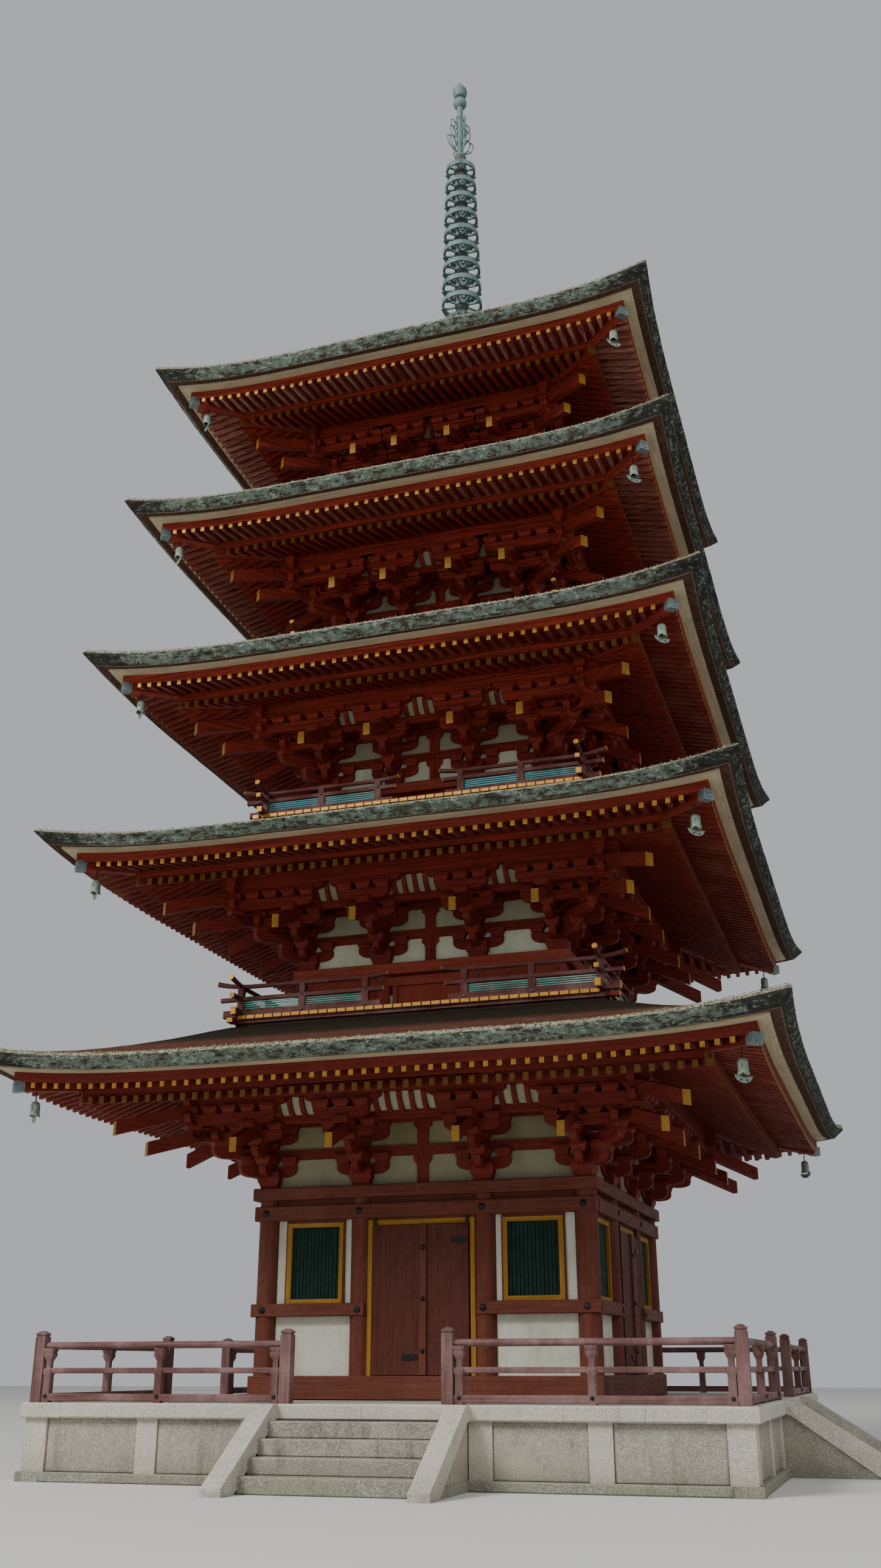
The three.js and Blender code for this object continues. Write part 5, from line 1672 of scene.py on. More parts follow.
def makeBalcony(storey):
    pile = Pile(seedOf["balcony"] + storey.number)
    look, z, reach, gap = deckLook, storey.joist, storey.rail, storey.gap
    edge = reach + 0.130
    k = storey.number - 1
    deck = z + look["deckLift"][k]
    bottom = (look["bottomFoot"] + look["deckLift"][k], look["bottomTop"][k])
    mid = (look["midFoot"][k], look["midFoot"][k] + look["midHeight"])
    top = look["topRail"][k]
    level = deck + look["boardZ"]
    for hand in (-1, 1):
        addRail(pile, storey, hand, bottom, 0.044, look["intoGap"][0], look["pastCorner"][0])
        addRail(pile, storey, hand, mid, 0.036, look["intoGap"][1], look["pastCorner"][1])
        addRailEnd(pile, hand * (gap - look["intoGap"][1]), (reach - 0.034, reach + 0.034),
                   (z + mid[0] + 0.002, z + mid[1] - 0.002), -hand)
        middle = (gap + 0.06 + reach) / 2
        for x in (gap + 0.06, middle, reach):
            if x == reach and hand < 0:
                continue
            spot = hand * x
            low = level + look["boardEnd"][1] / 2
            frontBox(pile, (spot - look["strut"], spot + look["strut"]), (reach - 0.048, reach + 0.048),
                     (low, z + mid[0] + 0.01), "railPaint", (0, 0, 1))
            addBlock(pile, spot, reach, 0.050, (z + mid[1] - 0.004, z + top - 0.010), "railPaint", 0.80)
            addDome(pile, spot, reach + 0.048, z + (bottom[0] + bottom[1]) / 2, 0.030, "agedStud")
            if x != reach:
                addDome(pile, spot, reach + 0.036, z + (mid[0] + mid[1]) / 2, 0.026, "agedStud")
        path, radii = [], []
        start, end = gap - look["intoGap"][2], reach + look["pastCorner"][2]
        for share in (0.0, 0.04, 0.09, 0.16, 0.5, 0.80, 0.87, 0.93, 0.97, 1.0):
            x = start + (end - start) * share
            rise = 0.075 * max(0.0, (share - 0.80) / 0.20) ** 2 + 0.040 * max(0.0, (0.16 - share) / 0.16) ** 2
            path.append((hand * x, -reach, z + top + rise))
            radii.append(look["topRadius"] + 0.006 * max(0.0, (share - 0.9) / 0.1))
        addRod(pile, path, 0.036, "railPaint", 12, radii)
        for tip, before, radius in ((path[-1], path[-2], 0.044), (path[0], path[1], 0.0365)):
            tip, before = Vector(tip), Vector(before)
            heading = (tip - before).normalized()
            addRod(pile, [tip - heading * 0.006, tip + heading * 0.006], radius, "giltPlate", 12)
        for a, b in ((gap + 0.06, middle), (middle, reach)):
            centre = hand * (a + b) / 2
            length = b - a - 2 * look["strut"]
            pitch = (mid[0] - bottom[1]) / (look["slats"] + 0.4)
            for i in range(look["slats"]):
                low = z + bottom[1] + pitch * (i + 0.42)
                frontBox(pile, (centre - length / 2 - 0.01, centre + length / 2 + 0.01),
                         (reach - 0.010, reach + 0.012), (low, low + pitch * look["slatShare"]),
                         "slatPaint", (1, 0, 0))
    count = 2 * int((edge - 0.02) / look["boardPitch"])
    width, height = look["boardEnd"]
    addRow(pile, count, look["boardPitch"], width + 0.010, 0.30, height - 0.004,
           (0.0, -(edge - 0.145), level),
           "redPaint", "out")
    addRow(pile, count, look["boardPitch"], width, 0.014, height, (0.0, -edge - 0.003, level), "giltRim",
           "side")
    addRow(pile, count, look["boardPitch"], width - 0.014, 0.014, height - 0.014, (0.0, -edge - 0.006, level),
           "giltPlate", "side")
    frontBox(pile, (edge - 0.045, edge + 0.15), (edge - 0.125, edge - 0.012),
             (deck - 0.036, deck + 0.026), "redPaint", (1, 0, 0))
    addRailEnd(pile, edge + 0.15, (edge - 0.120, edge - 0.016), (deck - 0.036, deck + 0.026))
    pile.turn(0)
    # Three bands under the deck; the lowest is a near-black coat of painted shade for the shadow gap above
    # the bark.
    near = storey.line - 0.145
    for inset, (low, high), finish in (
            (0.28, (level - height / 2, level + height / 2 - 0.004), "redPaint"),
            (0.035, [deck + rise for rise in look["beam"]], "railPaint"),
            (0.075, [deck + rise for rise in look["skirt"]], "paintedShadeTimber")):
        addSweep(pile, [(near, low), (edge - inset, low), (edge - inset, high), (near, high)], [finish] * 4,
                 [-1, 1])
    piece = pile.build(f"balcony{storey.number}")
    settle(piece, [f"balcony_{storey.number}"])


wallLook = {"columnRadius": 0.128, "plateFoot": 0.182, "plateOut": 0.213, "face": 0.030}


# Upper storey: round columns, boarded walls with a plank door behind each gap, and the wall plate
def makeUpperStorey(storey):
    pile = Pile(seedOf["walls"] + storey.number)
    c, inner, top = storey.line, storey.inner, storey.base
    foot = storey.joist + 0.101
    under = top - wallLook["plateFoot"]
    head = under - 0.010
    # These pieces take the lighter wall paint, with painted light against the shade of the balcony and eaves.
    for x in (-inner, inner, c):
        addColumn(pile, x, -c, wallLook["columnRadius"], (foot, under + 0.01), "litWallPaint", 24)
    for x in (-inner, inner, -c, c):
        addDome(pile, x, c + 0.128, head - 0.08, 0.034, "agedStud")
    doorHalf = inner - 0.26
    doorTop = head - 0.155
    for hand in (-1, 1):
        frontBox(pile, sorted((hand * doorHalf, hand * (doorHalf + 0.075))), (c, c + 0.070),
                 (foot, head), "litWallPaint", (0, 0, 1))
        frontBox(pile, sorted((hand * 0.003, hand * (doorHalf - 0.006))), (c, c + 0.040),
                 (foot + 0.01, doorTop - 0.006), "litWallPaint", (0, 0, 1))
        boards = sorted((hand * (inner + 0.12), hand * (c - 0.12)))
        span = boards[1] - boards[0]
        addRow(pile, 4, span / 4, span / 4 - 0.004, 0.05, head - foot, (sum(boards) / 2, -c - 0.005,
               (head + foot) / 2), "litWallPaint")
        strip = sorted((hand * (inner - 0.17), hand * (inner - 0.125)))
        frontBox(pile, strip, (c - 0.02, c + 0.02), (foot + 0.18, foot + 0.38), "limePlaster", (0, 0, 1))
    frontBox(pile, (-doorHalf - 0.075, doorHalf + 0.075), (c, c + 0.074), (doorTop, head), "litWallPaint",
             (1, 0, 0))
    pile.turn(0)
    addSquare(pile, (c - 0.05, c + 0.090), (head - 0.16, head), "litWallPaint")
    addSquare(pile, (c - 0.05, c + 0.085), (foot, foot + 0.16), "litWallPaint")
    addSquare(pile, (c - 0.20, c + wallLook["plateOut"]), (under, top), "litWallPaint")
    near, far = c - 0.13, c - 0.01
    addSweep(pile, [(near, foot), (far, foot), (far, under), (near, under)], ["redPaint"] * 4, [-1, 1])
    piece = pile.build(f"storeyWalls{storey.number}")
    settle(piece, [f"storey_{storey.number}"])


for storey in storeys[1:]:
    makeBalcony(storey)
    makeUpperStorey(storey)
print("upper storeys made")


# First storey in metres: heights above the ground, reaches from the axis
firstLook = {
    "column": 0.168, "footTop": 1.290, "foot": (0.972, 1.290), "upperRail": (3.470, 3.680),
    "plate": (3.768, 3.950), "waist": (2.100, 2.280), "railOuter": 2.655, "windowX": (1.300, 2.068),
    "windowZ": (2.345, 3.365), "frameX": (1.240, 2.138), "frameZ": (2.278, 3.427), "bars": 13,
    "footInner": 2.290, "railInner": 2.410, "waistInner": 2.530, "plateReach": (2.257, 2.683),
    "shortFoot": 2.289, "shortPlate": 2.256, "infillZ": (3.678, 3.770),
    "domes": ((3.575, 0.052), (2.190, 0.050)),
}
# Door frame in metres: each jamb as (xs, reaches, top) and each head as (half length, reaches, heights)
jambs = (((0.700, 0.830), (2.500, 2.556), 3.475, "framePaint"),
         ((0.757, 0.826), (2.540, 2.592), 3.440, "yellowPaint"))
heads = ((0.756, (2.520, 2.570), (3.366, 3.440), "yellowPaint"),
         (0.705, (2.500, 2.556), (3.290, 3.372), "framePaint"),
         (0.840, (2.520, 2.570), (3.438, 3.474), "framePaint"))
sides = ("front", "right", "back", "left")


def makeFirstFrame(side, hasCorners):
    pile = Pile(seedOf["frame"] + side)
    look = firstLook
    c, inner = storeys[0].line, storeys[0].inner
    outer = look["railOuter"]
    flat = c - look["column"] * 0.93
    spots = (-c, -inner, inner, c) if hasCorners else (-inner, inner)
    for x in spots:
        addColumn(pile, x, -c, look["column"], (look["footTop"] - 0.004, look["plate"][0] + 0.006),
                  "framePaint", 32,
                  0.006)
    railEnd = outer if hasCorners else flat
    footEnd = outer if hasCorners else look["shortFoot"]
    plateEnd = look["plateReach"][1] if hasCorners else look["shortPlate"]
    for end, reaches, zs in ((footEnd, (look["footInner"], outer), look["foot"]),
                             (railEnd, (look["railInner"], outer), look["upperRail"]),
                             (plateEnd, look["plateReach"], look["plate"])):
        addBeam(pile, (-end, end), reaches, zs, "framePaint", 0.014)
    frontBox(pile, (-flat, flat), (look["railInner"], look["waistInner"]), look["infillZ"], "framePaint")
    if hasCorners:
        for hand in (-1, 1):
            for x, reach, zs in ((look["railInner"], 2.450, look["upperRail"]),
                                 (look["waistInner"], 2.560, look["waist"])):
                addBeam(pile, sorted((hand * x, hand * outer)), (flat, reach), zs, "framePaint", 0.014)
    for hand in (-1, 1):
        addBeam(pile, sorted((hand * (inner - 0.10), hand * railEnd)), (look["waistInner"], outer),
                look["waist"], "framePaint")
        for (x0, x1), reaches, top, finish in jambs:
            frontBox(pile, sorted((hand * x0, hand * x1)), reaches, (look["footTop"], top), finish, (0, 0, 1))
        for x in (inner, c):
            if x == c and not hasCorners:
                continue
            for z, radius in look["domes"]:
                addDome(pile, hand * x, outer, z, radius)
    for x, reaches, zs, finish in heads:
        frontBox(pile, (-x, x), reaches, zs, finish, (1, 0, 0))
    pile.faceTo(side)
    piece = pile.build("frame" + sides[side].title())
    settle(piece, ["frame_" + sides[side]])


# Plaster wall beside the doors, with its barred window in a yellow frame
def makeWall(side, hand):
    pile = Pile(seedOf["wall"] + 2 * side + (hand > 0))
    look = firstLook
    c, inner = storeys[0].line, storeys[0].inner
    xs = (inner + 0.166, c - 0.166)
    (w0, w1), (h0, h1) = look["windowX"], look["windowZ"]
    (f0, f1), (g0, g1) = look["frameX"], look["frameZ"]

    def put(x0, x1, reaches, zs, finish, along=(0, 0, 1)):
        frontBox(pile, sorted((hand * x0, hand * x1)), reaches, zs, finish, along)

    wall = (c - 0.035, c + 0.035)
    low, high = look["footTop"] + 0.0005, look["upperRail"][0] - 0.0005
    put(xs[0], w0, wall, (low, high), "limePlaster")
    put(w1, xs[1], wall, (low, high), "limePlaster")
    put(w0, w1, wall, (low, h0), "limePlaster")
    put(w0, w1, wall, (h1, high), "limePlaster")
    for a, b in ((f0 - 0.026, f0), (f1, f1 + 0.026)):
        put(a, b, (c + 0.02, c + 0.070), (look["waist"][1], look["upperRail"][0]), "framePaint")
    face = (c + 0.02, c + 0.085)
    put(f0, w0, face, (g0 + 0.002, g1), "yellowPaint")
    put(w1, f1, face, (g0 + 0.002, g1), "yellowPaint")
    put(w0, w1, (c + 0.02, c + 0.083), (g0 + 0.002, h0), "yellowPaint", (1, 0, 0))
    put(w0, w1, (c + 0.02, c + 0.083), (h1, g1), "yellowPaint", (1, 0, 0))
    put(f0 - 0.026, f1 + 0.026, (c + 0.02, c + 0.068), (g1, look["upperRail"][0]), "framePaint", (1, 0, 0))
    pitch = (w1 - w0) / look["bars"]
    addRow(pile, look["bars"], pitch, pitch * 0.84, 0.045, h1 - h0 + 0.02, (hand * (w0 + w1) / 2, -c - 0.010,
           (h0 + h1) / 2), "barPaint")
    pile.faceTo(side)
    letter = "b" if hand > 0 else "a"
    piece = pile.build(f"wall{sides[side].title()}{letter.upper()}")
    settle(piece, [f"wall_{sides[side]}_{letter}"])


doorLook = {"edges": (0.004, 0.735), "z": (1.300, 3.355), "faces": (2.572, 2.626), "planks": 3,
            "bosses": (1.62, 2.32, 3.03), "batten": 0.094, "pivot": 0.715, "pin": 0.022,
            "stile": 0.085, "pivotReach": 2.600, "pinFoot": 1.2655, "pinTop": 3.494}


# Plank door leaf with its pins; the leaf on the right carries the batten with three bosses
def makeLeaf(side, hand):
    pile = Pile(seedOf["leaf"] + 2 * side + (hand > 0))
    look = doorLook
    (e0, e1), (z0, z1), faces = look["edges"], look["z"], look["faces"]
    stile = look["stile"]
    width = (e1 - e0 - 2 * stile) / look["planks"]

    def put(x0, x1, reaches, zs, finish="doorPaint", along=(0, 0, 1)):
        frontBox(pile, sorted((hand * x0, hand * x1)), reaches, zs, finish, along)

    put(e0, e0 + stile, faces, (z0, z1))
    put(e1 - stile, e1, faces, (z0, z1))
    for i in range(look["planks"]):
        x = e0 + stile + i * width
        put(x + 0.001, x + width - 0.001, (faces[0] + 0.004, faces[1] - 0.006), (z0 + 0.001, z1 - 0.001))
    for zs in ((z0 + 0.2, z0 + 0.34), (z1 - 0.34, z1 - 0.2)):
        put(e0 + 0.05, e1 - 0.05, (faces[0] + 0.002, faces[0] + 0.02), zs, "doorPaint", (1, 0, 0))
    front = faces[1]

    def strap(x0, x1, thick, zs):
        put(x0, x1, (front - 0.004, front + thick), zs, "ironWork", (1, 0, 0))

    if hand > 0:
        put(e0, e0 + look["batten"], (front - 0.01, front + 0.030), (z0 + 0.004, z1 - 0.004), "framePaint")
        for z in look["bosses"]:
            addDome(pile, hand * (e0 + look["batten"] / 2), front + 0.030, z, 0.034)
        strap(e1 - 0.26, e1 - 0.03, 0.008, (z1 - 0.270, z1 - 0.195))
        strap(e1 - 0.10, e1 - 0.02, 0.020, (z1 - 0.030, z1 - 0.006))
    else:
        strap(e0 + 0.03, e0 + 0.26, 0.008, (z0 + 0.200, z0 + 0.275))
    for zs in ((look["pinFoot"], z0 + 0.02), (z1 - 0.02, look["pinTop"])):
        addColumn(pile, hand * look["pivot"], -look["pivotReach"], look["pin"], zs, "ironWork", 12)
    pile.faceTo(side)
    letter = "b" if hand > 0 else "a"
    piece = pile.build(f"leaf{sides[side].title()}{letter.upper()}")
    body = f"door_{sides[side]}_{letter}_leaf" if side < 2 else "tower"
    settle(piece, [f"door_{sides[side]}_{letter}"], body)


for side in range(4):
    makeFirstFrame(side, side % 2 == 0)
    for hand in (-1, 1):
        makeWall(side, hand)
        makeLeaf(side, hand)
print("first storey made")


# Platform and stairs in metres
stoneLook = {
    "ground": 0.0005, "top": 0.970, "copingLow": 0.780, "coping": 4.961, "slab": 4.865, "plinth": 4.950,
    "plinthHeight": 0.120,
    "pilasters": (1.545, 3.050), "pilasterHalf": 0.150, "corner": 4.560, "cornerFace": 4.895,
    "stairHalf": 1.154, "cheek": 0.268, "steps": 5, "tread": 0.280, "cheekRun": 1.5595, "cheekCap": 0.190,
    "joint": 0.004,
}


def makePlatform():
    pile = Pile(seedOf["platform"])
    look = stoneLook
    joint = look["joint"]
    low, high = look["plinthHeight"], look["copingLow"]
    pilasters = look["pilasters"]
    for hand in (-1, 1):
        for x in pilasters:
            frontBox(pile, sorted((hand * (x - look["pilasterHalf"]), hand * (x + look["pilasterHalf"]))),
                     (look["slab"] - 0.20, look["slab"] + 0.024), (low, high), "granitePale", (0, 0, 1))
        spans = ((pilasters[0] + 0.150, pilasters[1] - 0.150), (pilasters[1] + 0.150, look["corner"]))
        for x0, x1 in spans:
            addSlab(pile, sorted((hand * (x0 + joint), hand * (x1 - joint))), look["slab"],
                    (low + joint, high))
        stones = (0.0, 1.35, 2.75, 3.95, look["plinth"] - 0.36)
        for x0, x1 in zip(stones, stones[1:]):
            addBeam(pile, sorted((hand * (x0 + joint / 2), hand * (x1 - joint / 2))),
                    (look["slab"] - 0.2, look["plinth"]),
                    (look["ground"], low), "graniteStep", 0.016)
    face = look["cornerFace"]
    addBox(pile, (look["corner"], -face, low), (face, -look["corner"], high), "granitePale", (0, 0, 1))
    addBox(pile, (look["plinth"] - 0.358, -look["plinth"], look["ground"]),
           (look["plinth"], -look["plinth"] + 0.358, low),
           "graniteStep")
    frontBox(pile, (-pilasters[0], pilasters[0]), (look["slab"] - 0.15, look["slab"] - 0.01), (low, high),
             "graniteBlock")
    pile.turn(0)
    core = look["slab"] - 0.10
    addBox(pile, (-core, -core, 0.0), (core, core, high - 0.002), "graniteBlock")
    piece = pile.build("platformStones")
    settle(piece, ["stone_platform"])


# Facing slab with a shallow sunk margin
def addSlab(pile, xs, reach, zs, finish="graniteBlock"):
    (x0, x1), (z0, z1) = xs, zs
    rings = []
    for inset, out in ((0.0, -0.18), (0.0, -0.012), (0.008, -0.004), (0.030, 0.0)):
        rings.append([(x0 + inset, -(reach + out), z0 + inset), (x1 - inset, -(reach + out), z0 + inset),
                      (x1 - inset, -(reach + out), z1 - inset), (x0 + inset, -(reach + out), z1 - inset)])
    addLoft(pile, rings, finish, (1, 0, 0))


# Coping of long stones with rounded upper edges, over a paved top
def makeCoping():
    pile = Pile(seedOf["coping"])
    look = stoneLook
    inner = look["coping"] - 0.62
    ends = (0.0, 1.29, 2.62, 3.62, inner)
    for hand in (-1, 1):
        for x0, x1 in zip(ends, ends[1:]):
            addBeam(pile, sorted((hand * (x0 + 0.002), hand * (x1 - 0.002))), (inner, look["coping"]),
                    (look["copingLow"], look["top"]), "granitePale", 0.022)
    outer = look["coping"]
    rings = []
    for z, inset in ((look["copingLow"], 0.012), (look["copingLow"] + 0.015, 0.0), (look["top"] - 0.022, 0.0),
                     (look["top"], 0.022)):
        rings.append([(inner + 0.002, -outer + inset, z), (outer - inset, -outer + inset, z),
                      (outer - inset, -inner - 0.002, z), (inner + 0.002, -inner - 0.002, z)])
    addLoft(pile, rings, "granitePale", (1, 0, 0))
    pile.turn(0)
    paving = 12
    size = 2 * inner / paving
    for i in range(paving):
        for j in range(paving):
            x, y = -inner + i * size, -inner + j * size
            addBox(pile, (x + 0.003, y + 0.003, look["copingLow"] + 0.01),
                   (x + size - 0.003, y + size - 0.003, look["top"] - 0.004), "graniteBlock", (1, 0, 0))
    bed = inner - 0.002
    addBox(pile, (-bed, -bed, look["copingLow"]), (bed, bed, look["top"] - 0.03), "graniteBlock")
    piece = pile.build("platformCoping")
    settle(piece, ["platform_coping"])


# A flight of five steps between sloping cheeks
def makeStair(side):
    pile = Pile(seedOf["stair"] + side)
    look = stoneLook
    start = look["coping"] + 0.0005
    riser = look["top"] / look["steps"]
    half = look["stairHalf"]
    for step in range(1, look["steps"]):
        far = start + (look["steps"] - step) * look["tread"]
        low = (step - 1) * riser
        joints = (-half, -half * 0.30, half * 0.38, half) if step % 2 else (-half, 0.06, half)
        for x0, x1 in zip(joints, joints[1:]):
            addBeam(pile, (x0 + 0.001, x1 - 0.001), (start, far), (low + 0.001, step * riser),
                    "graniteStep", 0.014)
    run, top, thick = start + look["cheekRun"], look["top"], look["cheekCap"]
    fall = (top - 0.090) / (look["cheekRun"] - 0.120)
    drop = thick * math.hypot(1.0, fall)
    cap = [(run, 0.0), (run, 0.090), (start + 0.120, top), (start, top), (start, top - thick),
           (start + 0.120 - thick * 0.4, top - thick), (run - drop / fall, 0.0)]
    panel = [(start - 0.09, 0.0), (run - 0.12, 0.0), (run - 0.12, 0.06), (start + 0.10, top - 0.10),
             (start + 0.002, top - 0.10), (start + 0.002, look["copingLow"] - 0.002), (start - 0.09,
             look["copingLow"] - 0.002)]
    plinth = [(start - 0.01, 0.0), (run - 0.24, 0.0), (run - 0.24, look["plinthHeight"]),
              (start - 0.01, look["plinthHeight"])]
    for hand in (-1, 1):
        middle = hand * (half + look["cheek"] / 2)
        addPlate(pile, cap, look["cheek"] / 2, "granitePale", outOn(middle), (0, 1, 0))
        addPlate(pile, panel, look["cheek"] / 2 - 0.045, "graniteBlock", outOn(middle), (0, 1, 0))
        addPlate(pile, plinth, look["cheek"] / 2 - 0.020, "graniteStep", outOn(middle), (0, 1, 0))
    pile.faceTo(side)
    piece = pile.build("stair" + sides[side].title())
    settle(piece, ["stair_" + sides[side]])


railLook = {"reach": 4.800, "newel": 1.110, "half": 0.075, "struts": (2.960,), "handrail": 1.690,
            "handrailRadius": 0.046, "strutTop": 1.655}


# Shaped strut of the platform railing: square foot, waisted neck and flared head
def addRailStrut(pile, x, reach, z0, z1):
    levels = ((0.0, 0.052), (0.50, 0.050), (0.53, 0.062), (0.60, 0.062), (0.63, 0.036), (0.76, 0.036),
              (0.80, 0.050), (0.85, 0.066), (0.90, 0.070), (0.91, 0.060), (0.96, 0.074), (1.0, 0.074))
    rings = [squareRing(x, reach, half, z0 + (z1 - z0) * share) for share, half in levels]
    addLoft(pile, rings, "oldTimber", (0, 0, 1))


def makePlatformRail(side, name):
    pile = Pile(seedOf["platformRail"] + side)
    reach, newel, half = railLook["reach"], railLook["newel"], railLook["half"]
    foot = stoneLook["top"] + 0.0005

    def post(x, away):
        levels = ((foot, half), (1.800, half), (1.806, half - 0.012), (1.822, half - 0.012), (1.828, half),
                  (1.846, half), (1.880, half - 0.05))
        addLoft(pile, [squareRing(x, away, h, z) for z, h in levels], "oldTimber", (0, 0, 1))

    def halfSide():
        for past, half, zs in ((0.05, 0.050, (0.985, 1.080)), (0.02, 0.040, (1.335, 1.405))):
            addBeam(pile, (newel - 0.02, reach + past), (reach - half, reach + half), zs, "oldTimber", 0.01)
        run = [(x, -reach, railLook["handrail"]) for x in (newel, (newel + reach) / 2, reach)]
        addRod(pile, run, railLook["handrailRadius"], "oldTimber", 14)
        for x in (newel + 0.15, *railLook["struts"], reach - 0.14):
            addRailStrut(pile, x, reach, foot, railLook["strutTop"])
            addDome(pile, x, reach + 0.050, 1.050, 0.026)
        post(newel, reach)

    halfSide()
    own = len(pile.parts)
    mirrored = [(points * np.array((-1.0, 1.0, 1.0)), corners, sizes, marks, grain, shift)
                for points, corners, sizes, marks, grain, shift in pile.parts[:own]]
    for points, corners, sizes, marks, grain, shift in mirrored:
        low = int(corners.min())
        pile.parts.append((quarterTurn(points, 1), corners - low + pile.count, sizes, marks,
                           quarterTurn(grain, 1),
                           shift + 3.1))
        pile.count += len(points)
    post(reach, reach)
    pile.faceTo(side)
    piece = pile.build("platformRail" + name.title().replace("_", ""))
    settle(piece, ["platform_rail_" + name])


makePlatform()
makeCoping()
for side in range(4):
    makeStair(side)
for side, name in enumerate(("front_right", "back_right", "back_left", "front_left")):
    makePlatformRail(side, name)
print("platform made")


# Finial in metres: outlines as (radius, height above the roof curb)
finialLook = {"curb": 20.900, "basin": 0.440, "basinHeight": 0.400, "rim": (0.480, 0.380, 0.450),
              "firstRing": 22.516, "pitch": 0.472, "count": 9, "radii": (0.436, 0.333), "mast": 0.128,
              "spokes": 8, "bells": 8, "crown": 26.712}


def makeFinialBase():
    pile = Pile(seedOf["finialBase"])
    z = finialLook["curb"]
    half, height = finialLook["basin"], finialLook["basinHeight"]
    addBox(pile, (-half, -half, z + 0.001), (half, half, z + height), "bronzePatina")
    for low, grown in ((0.002, 0.020), (0.300, 0.012)):
        addBox(pile, (-half - grown, -half - grown, z + low), (half + grown, half + grown, z + low + 0.05),
               "bronzePatina")
    rim, low, high = finialLook["rim"]
    addBox(pile, (-rim, -rim, z + low), (rim, rim, z + high), "bronzePatina")
    bowl = [(0.0, 0.40), (0.36, 0.41), (0.40, 0.47), (0.40, 0.54), (0.385, 0.64), (0.34, 0.74), (0.27, 0.82),
            (0.20, 0.88), (0.15, 0.91), (0.15, 0.96), (0.19, 0.985), (0.26, 1.01), (0.33, 1.055),
            (0.385, 1.11),
            (0.40, 1.15), (0.37, 1.15), (0.28, 1.10), (0.0, 1.09)]
    addTurned(pile, [(r, z + h) for r, h in bowl], "bronzePatina", sides=40)
    for i in range(16):
        angle = 2 * math.pi * i / 16
        path = [(0.19 * math.cos(angle), 0.19 * math.sin(angle), z + 0.975),
                (0.33 * math.cos(angle), 0.33 * math.sin(angle), z + 1.045),
                (0.405 * math.cos(angle), 0.405 * math.sin(angle), z + 1.160)]
        addRod(pile, path, 0.02, "bronzePatina", 8, [0.012, 0.042, 0.020])
    addColumn(pile, 0, 0, 0.150, (z + 1.05, z + 1.179), "bronzePatina", 24)
    piece = pile.build("finialBase")
    settle(piece, ["finial_base"])


# One ring of the finial with its spokes, hub and small bells, as a rule for its radius
def addRing(pile, radius, z):
    outline = [(radius - 0.050, z - 0.050), (radius - 0.004, z - 0.060), (radius, z - 0.045),
               (radius, z + 0.045),
               (radius - 0.004, z + 0.060), (radius - 0.050, z + 0.050)]
    turns = [2 * math.pi * i / 40 for i in range(40)]
    rings = [[(r * math.cos(turn), r * math.sin(turn), h) for r, h in outline] for turn in turns]
    addLoft(pile, rings, "bronzePatina", (0, 0, 1), capped=False)
    for i in range(finialLook["spokes"] // 2):
        angle = math.pi * i / (finialLook["spokes"] // 2)
        a = Vector((math.cos(angle), math.sin(angle), 0))
        reach = radius - 0.02
        addStick(pile, tuple(a * -reach + Vector((0, 0, z))), tuple(a * reach + Vector((0, 0, z))), 0.030,
                 0.046 + 0.0006 * i, "bronzePatina")
    addColumn(pile, 0, 0, 0.150, (z - 0.040, z + 0.040), "bronzePatina", 24)
    for i in range(finialLook["bells"]):
        angle = 2 * math.pi * (i + 0.5) / finialLook["bells"]
        x, y = (radius - 0.02) * math.cos(angle), (radius - 0.02) * math.sin(angle)
        bell = [(0.0, z - 0.066), (0.014, z - 0.070), (0.022, z - 0.090), (0.026, z - 0.130),
                (0.032, z - 0.146),
                (0.0, z - 0.140)]
        addTurned(pile, bell, "bronzePatina", (x, y), 10)
        addRod(pile, [(x, y, z - 0.05), (x, y, z - 0.07)], 0.005, "bronzePatina", 6)


def makeFinialRings():
    pile = Pile(seedOf["finialRings"])
    look = finialLook
    top = look["crown"] - 0.001
    addColumn(pile, 0, 0, look["mast"], (look["curb"] + 1.181, top), "mastBronze", 28)
    for ring in range(look["count"]):
        radius = look["radii"][0] + (look["radii"][1] - look["radii"][0]) * ring / (look["count"] - 1)
        addRing(pile, radius, look["firstRing"] + ring * look["pitch"])
    piece = pile.build("finialRings")
    settle(piece, ["finial_rings"])


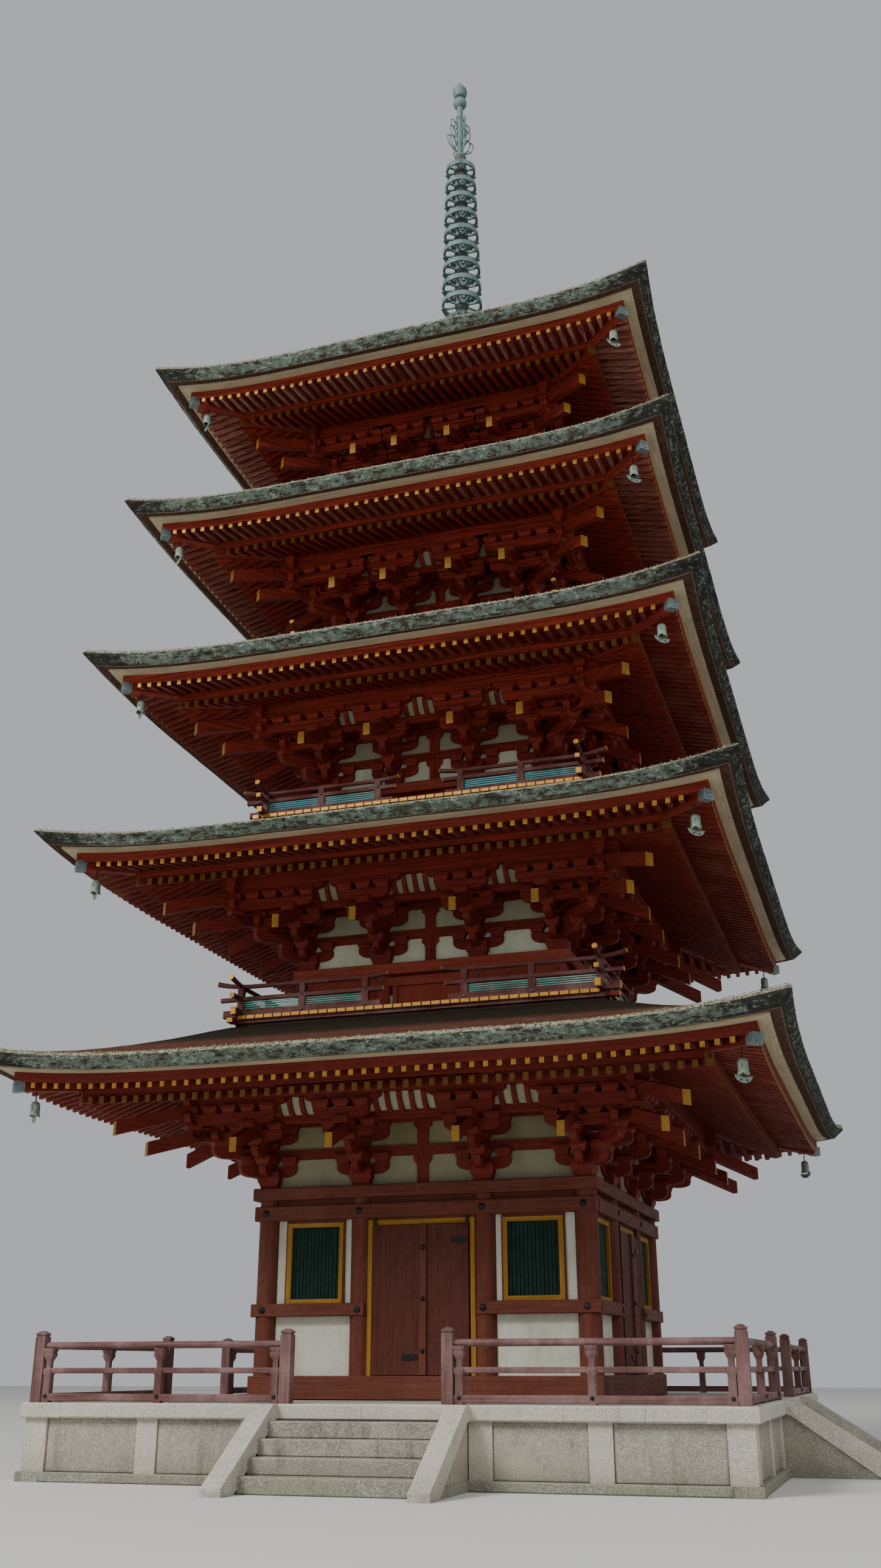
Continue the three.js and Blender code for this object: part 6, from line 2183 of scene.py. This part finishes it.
# Pierced flame of curling tongues around the rod, then the ball and the jewel
def makeFinialCrown():
    pile = Pile(seedOf["finialCrown"])
    foot = finialLook["crown"]
    addColumn(pile, 0, 0, 0.066, (foot, foot + 1.70), "bronzePatina", 16)
    addColumn(pile, 0, 0, 0.085, (foot, foot + 0.10), "bronzePatina", 24)
    tongues = [((0.05, 0.15), (0.17, 0.19), (0.28, 0.30), (0.335, 0.46), (0.32, 0.56), (0.26, 0.55)),
               ((0.10, 0.17), (0.20, 0.30), (0.25, 0.46), (0.24, 0.58), (0.18, 0.62), (0.15, 0.56)),
               ((0.05, 0.40), (0.14, 0.48), (0.22, 0.62), (0.26, 0.78), (0.24, 0.88), (0.19, 0.86)),
               ((0.05, 0.58), (0.11, 0.68), (0.15, 0.82), (0.14, 0.94), (0.09, 0.96), (0.075, 0.90)),
               ((0.12, 0.70), (0.19, 0.84), (0.25, 0.96), (0.22, 1.06), (0.16, 1.07), (0.14, 1.01)),
               ((0.05, 0.86), (0.09, 0.98), (0.11, 1.10), (0.08, 1.22), (0.03, 1.29), (0.01, 1.30))]
    for quarter in range(4):
        angle = math.pi / 4 + quarter * math.pi / 2
        c, s = math.cos(angle), math.sin(angle)
        for tongue in tongues:
            path = [(r * c, r * s, foot + h) for r, h in tongue]
            addRod(pile, path, 0.02, "bronzePatina", 6, [0.016, 0.016, 0.015, 0.014, 0.012, 0.012])
            addRod(pile, [path[-1], tuple(v + 0.012 for v in path[-1])], 0.022, "bronzePatina", 8)
    ball = [(0.0, 1.50), (0.06, 1.51), (0.11, 1.54), (0.145, 1.59), (0.158, 1.65), (0.145, 1.71),
            (0.11, 1.76),
            (0.06, 1.79), (0.0, 1.80)]
    addTurned(pile, [(r, foot + h) for r, h in ball], "bronzePatina", sides=28)
    jewel = [(0.0, 1.78), (0.12, 1.84), (0.155, 1.91), (0.168, 1.98), (0.155, 2.06), (0.115, 2.13),
             (0.06, 2.21),
             (0.02, 2.28), (0.0, 2.315)]
    addTurned(pile, [(r, foot + h) for r, h in jewel], "bronzePatina", sides=28)
    piece = pile.build("finialCrown")
    settle(piece, ["finial_crown"])


makeFinialBase()
makeFinialRings()
makeFinialCrown()
print("finial made")


# Frame nodes that stay as they are take their materials
def coatFrameNode(node, finish):
    if node not in bpy.data.objects:
        print("no frame node named", node)
        return
    target = bpy.data.objects[node]
    for slot in target.material_slots:
        slot.material = finishes[finish]


for node in ("first_floor", "first_ceiling", "heart_pillar"):
    coatFrameNode(node, "bareBoard")


# Pale studio floor, soft lights and the camera of the photograph
floorMesh = bpy.data.meshes.new("studioFloor")
span, floorZ = 90.0, -0.002
floorMesh.from_pydata([(x * span, y * span, floorZ) for x, y in ((-1, -1), (1, -1), (1, 1), (-1, 1))],
                      [], [(0, 1, 2, 3)])
studioFloor = bpy.data.objects.new("studioFloor", floorMesh)
bpy.context.scene.collection.objects.link(studioFloor)
floorTree, floorShader = newFinish("studioGround", specular=0.1)
floorShader.inputs["Base Color"].default_value = seen(206, 204, 198)
floorShader.inputs["Roughness"].default_value = 0.95
floorMesh.materials.append(finishes["studioGround"])

world = bpy.data.worlds.new("studioSky")
world.use_nodes = True
background = world.node_tree.nodes["Background"]
background.inputs["Color"].default_value = seen(226, 230, 236)
background.inputs["Strength"].default_value = 0.62
bpy.context.scene.world = world


def addLight(name, place, target, size, power):
    light = bpy.data.lights.new(name, "AREA")
    light.size = size
    light.energy = power
    holder = bpy.data.objects.new(name, light)
    holder.location = place
    holder.rotation_euler = (Vector(target) - Vector(place)).to_track_quat("-Z", "Y").to_euler()
    bpy.context.scene.collection.objects.link(holder)


addLight("keyLight", (-26.0, -42.0, 44.0), (0.0, 0.0, 13.0), 22.0, 33000)
addLight("fillLight", (36.0, -30.0, 44.0), (0.0, 0.0, 10.0), 30.0, 10000)

camera = bpy.data.cameras.new("photoCamera")
camera.sensor_fit = "VERTICAL"
camera.sensor_height = 36.0
camera.lens = 32.615
camera.clip_end = 400.0
cameraHolder = bpy.data.objects.new("photoCamera", camera)
cameraHolder.matrix_world = (Matrix.Translation((6.903, -23.361, 1.404))
                             @ Matrix.Rotation(math.radians(17.59), 4, "Z")
                             @ Matrix.Rotation(math.radians(90 + 22.32), 4, "X")
                             @ Matrix.Rotation(math.radians(-0.11), 4, "Z"))
bpy.context.scene.collection.objects.link(cameraHolder)
bpy.context.scene.camera = cameraHolder

print("scene ready")
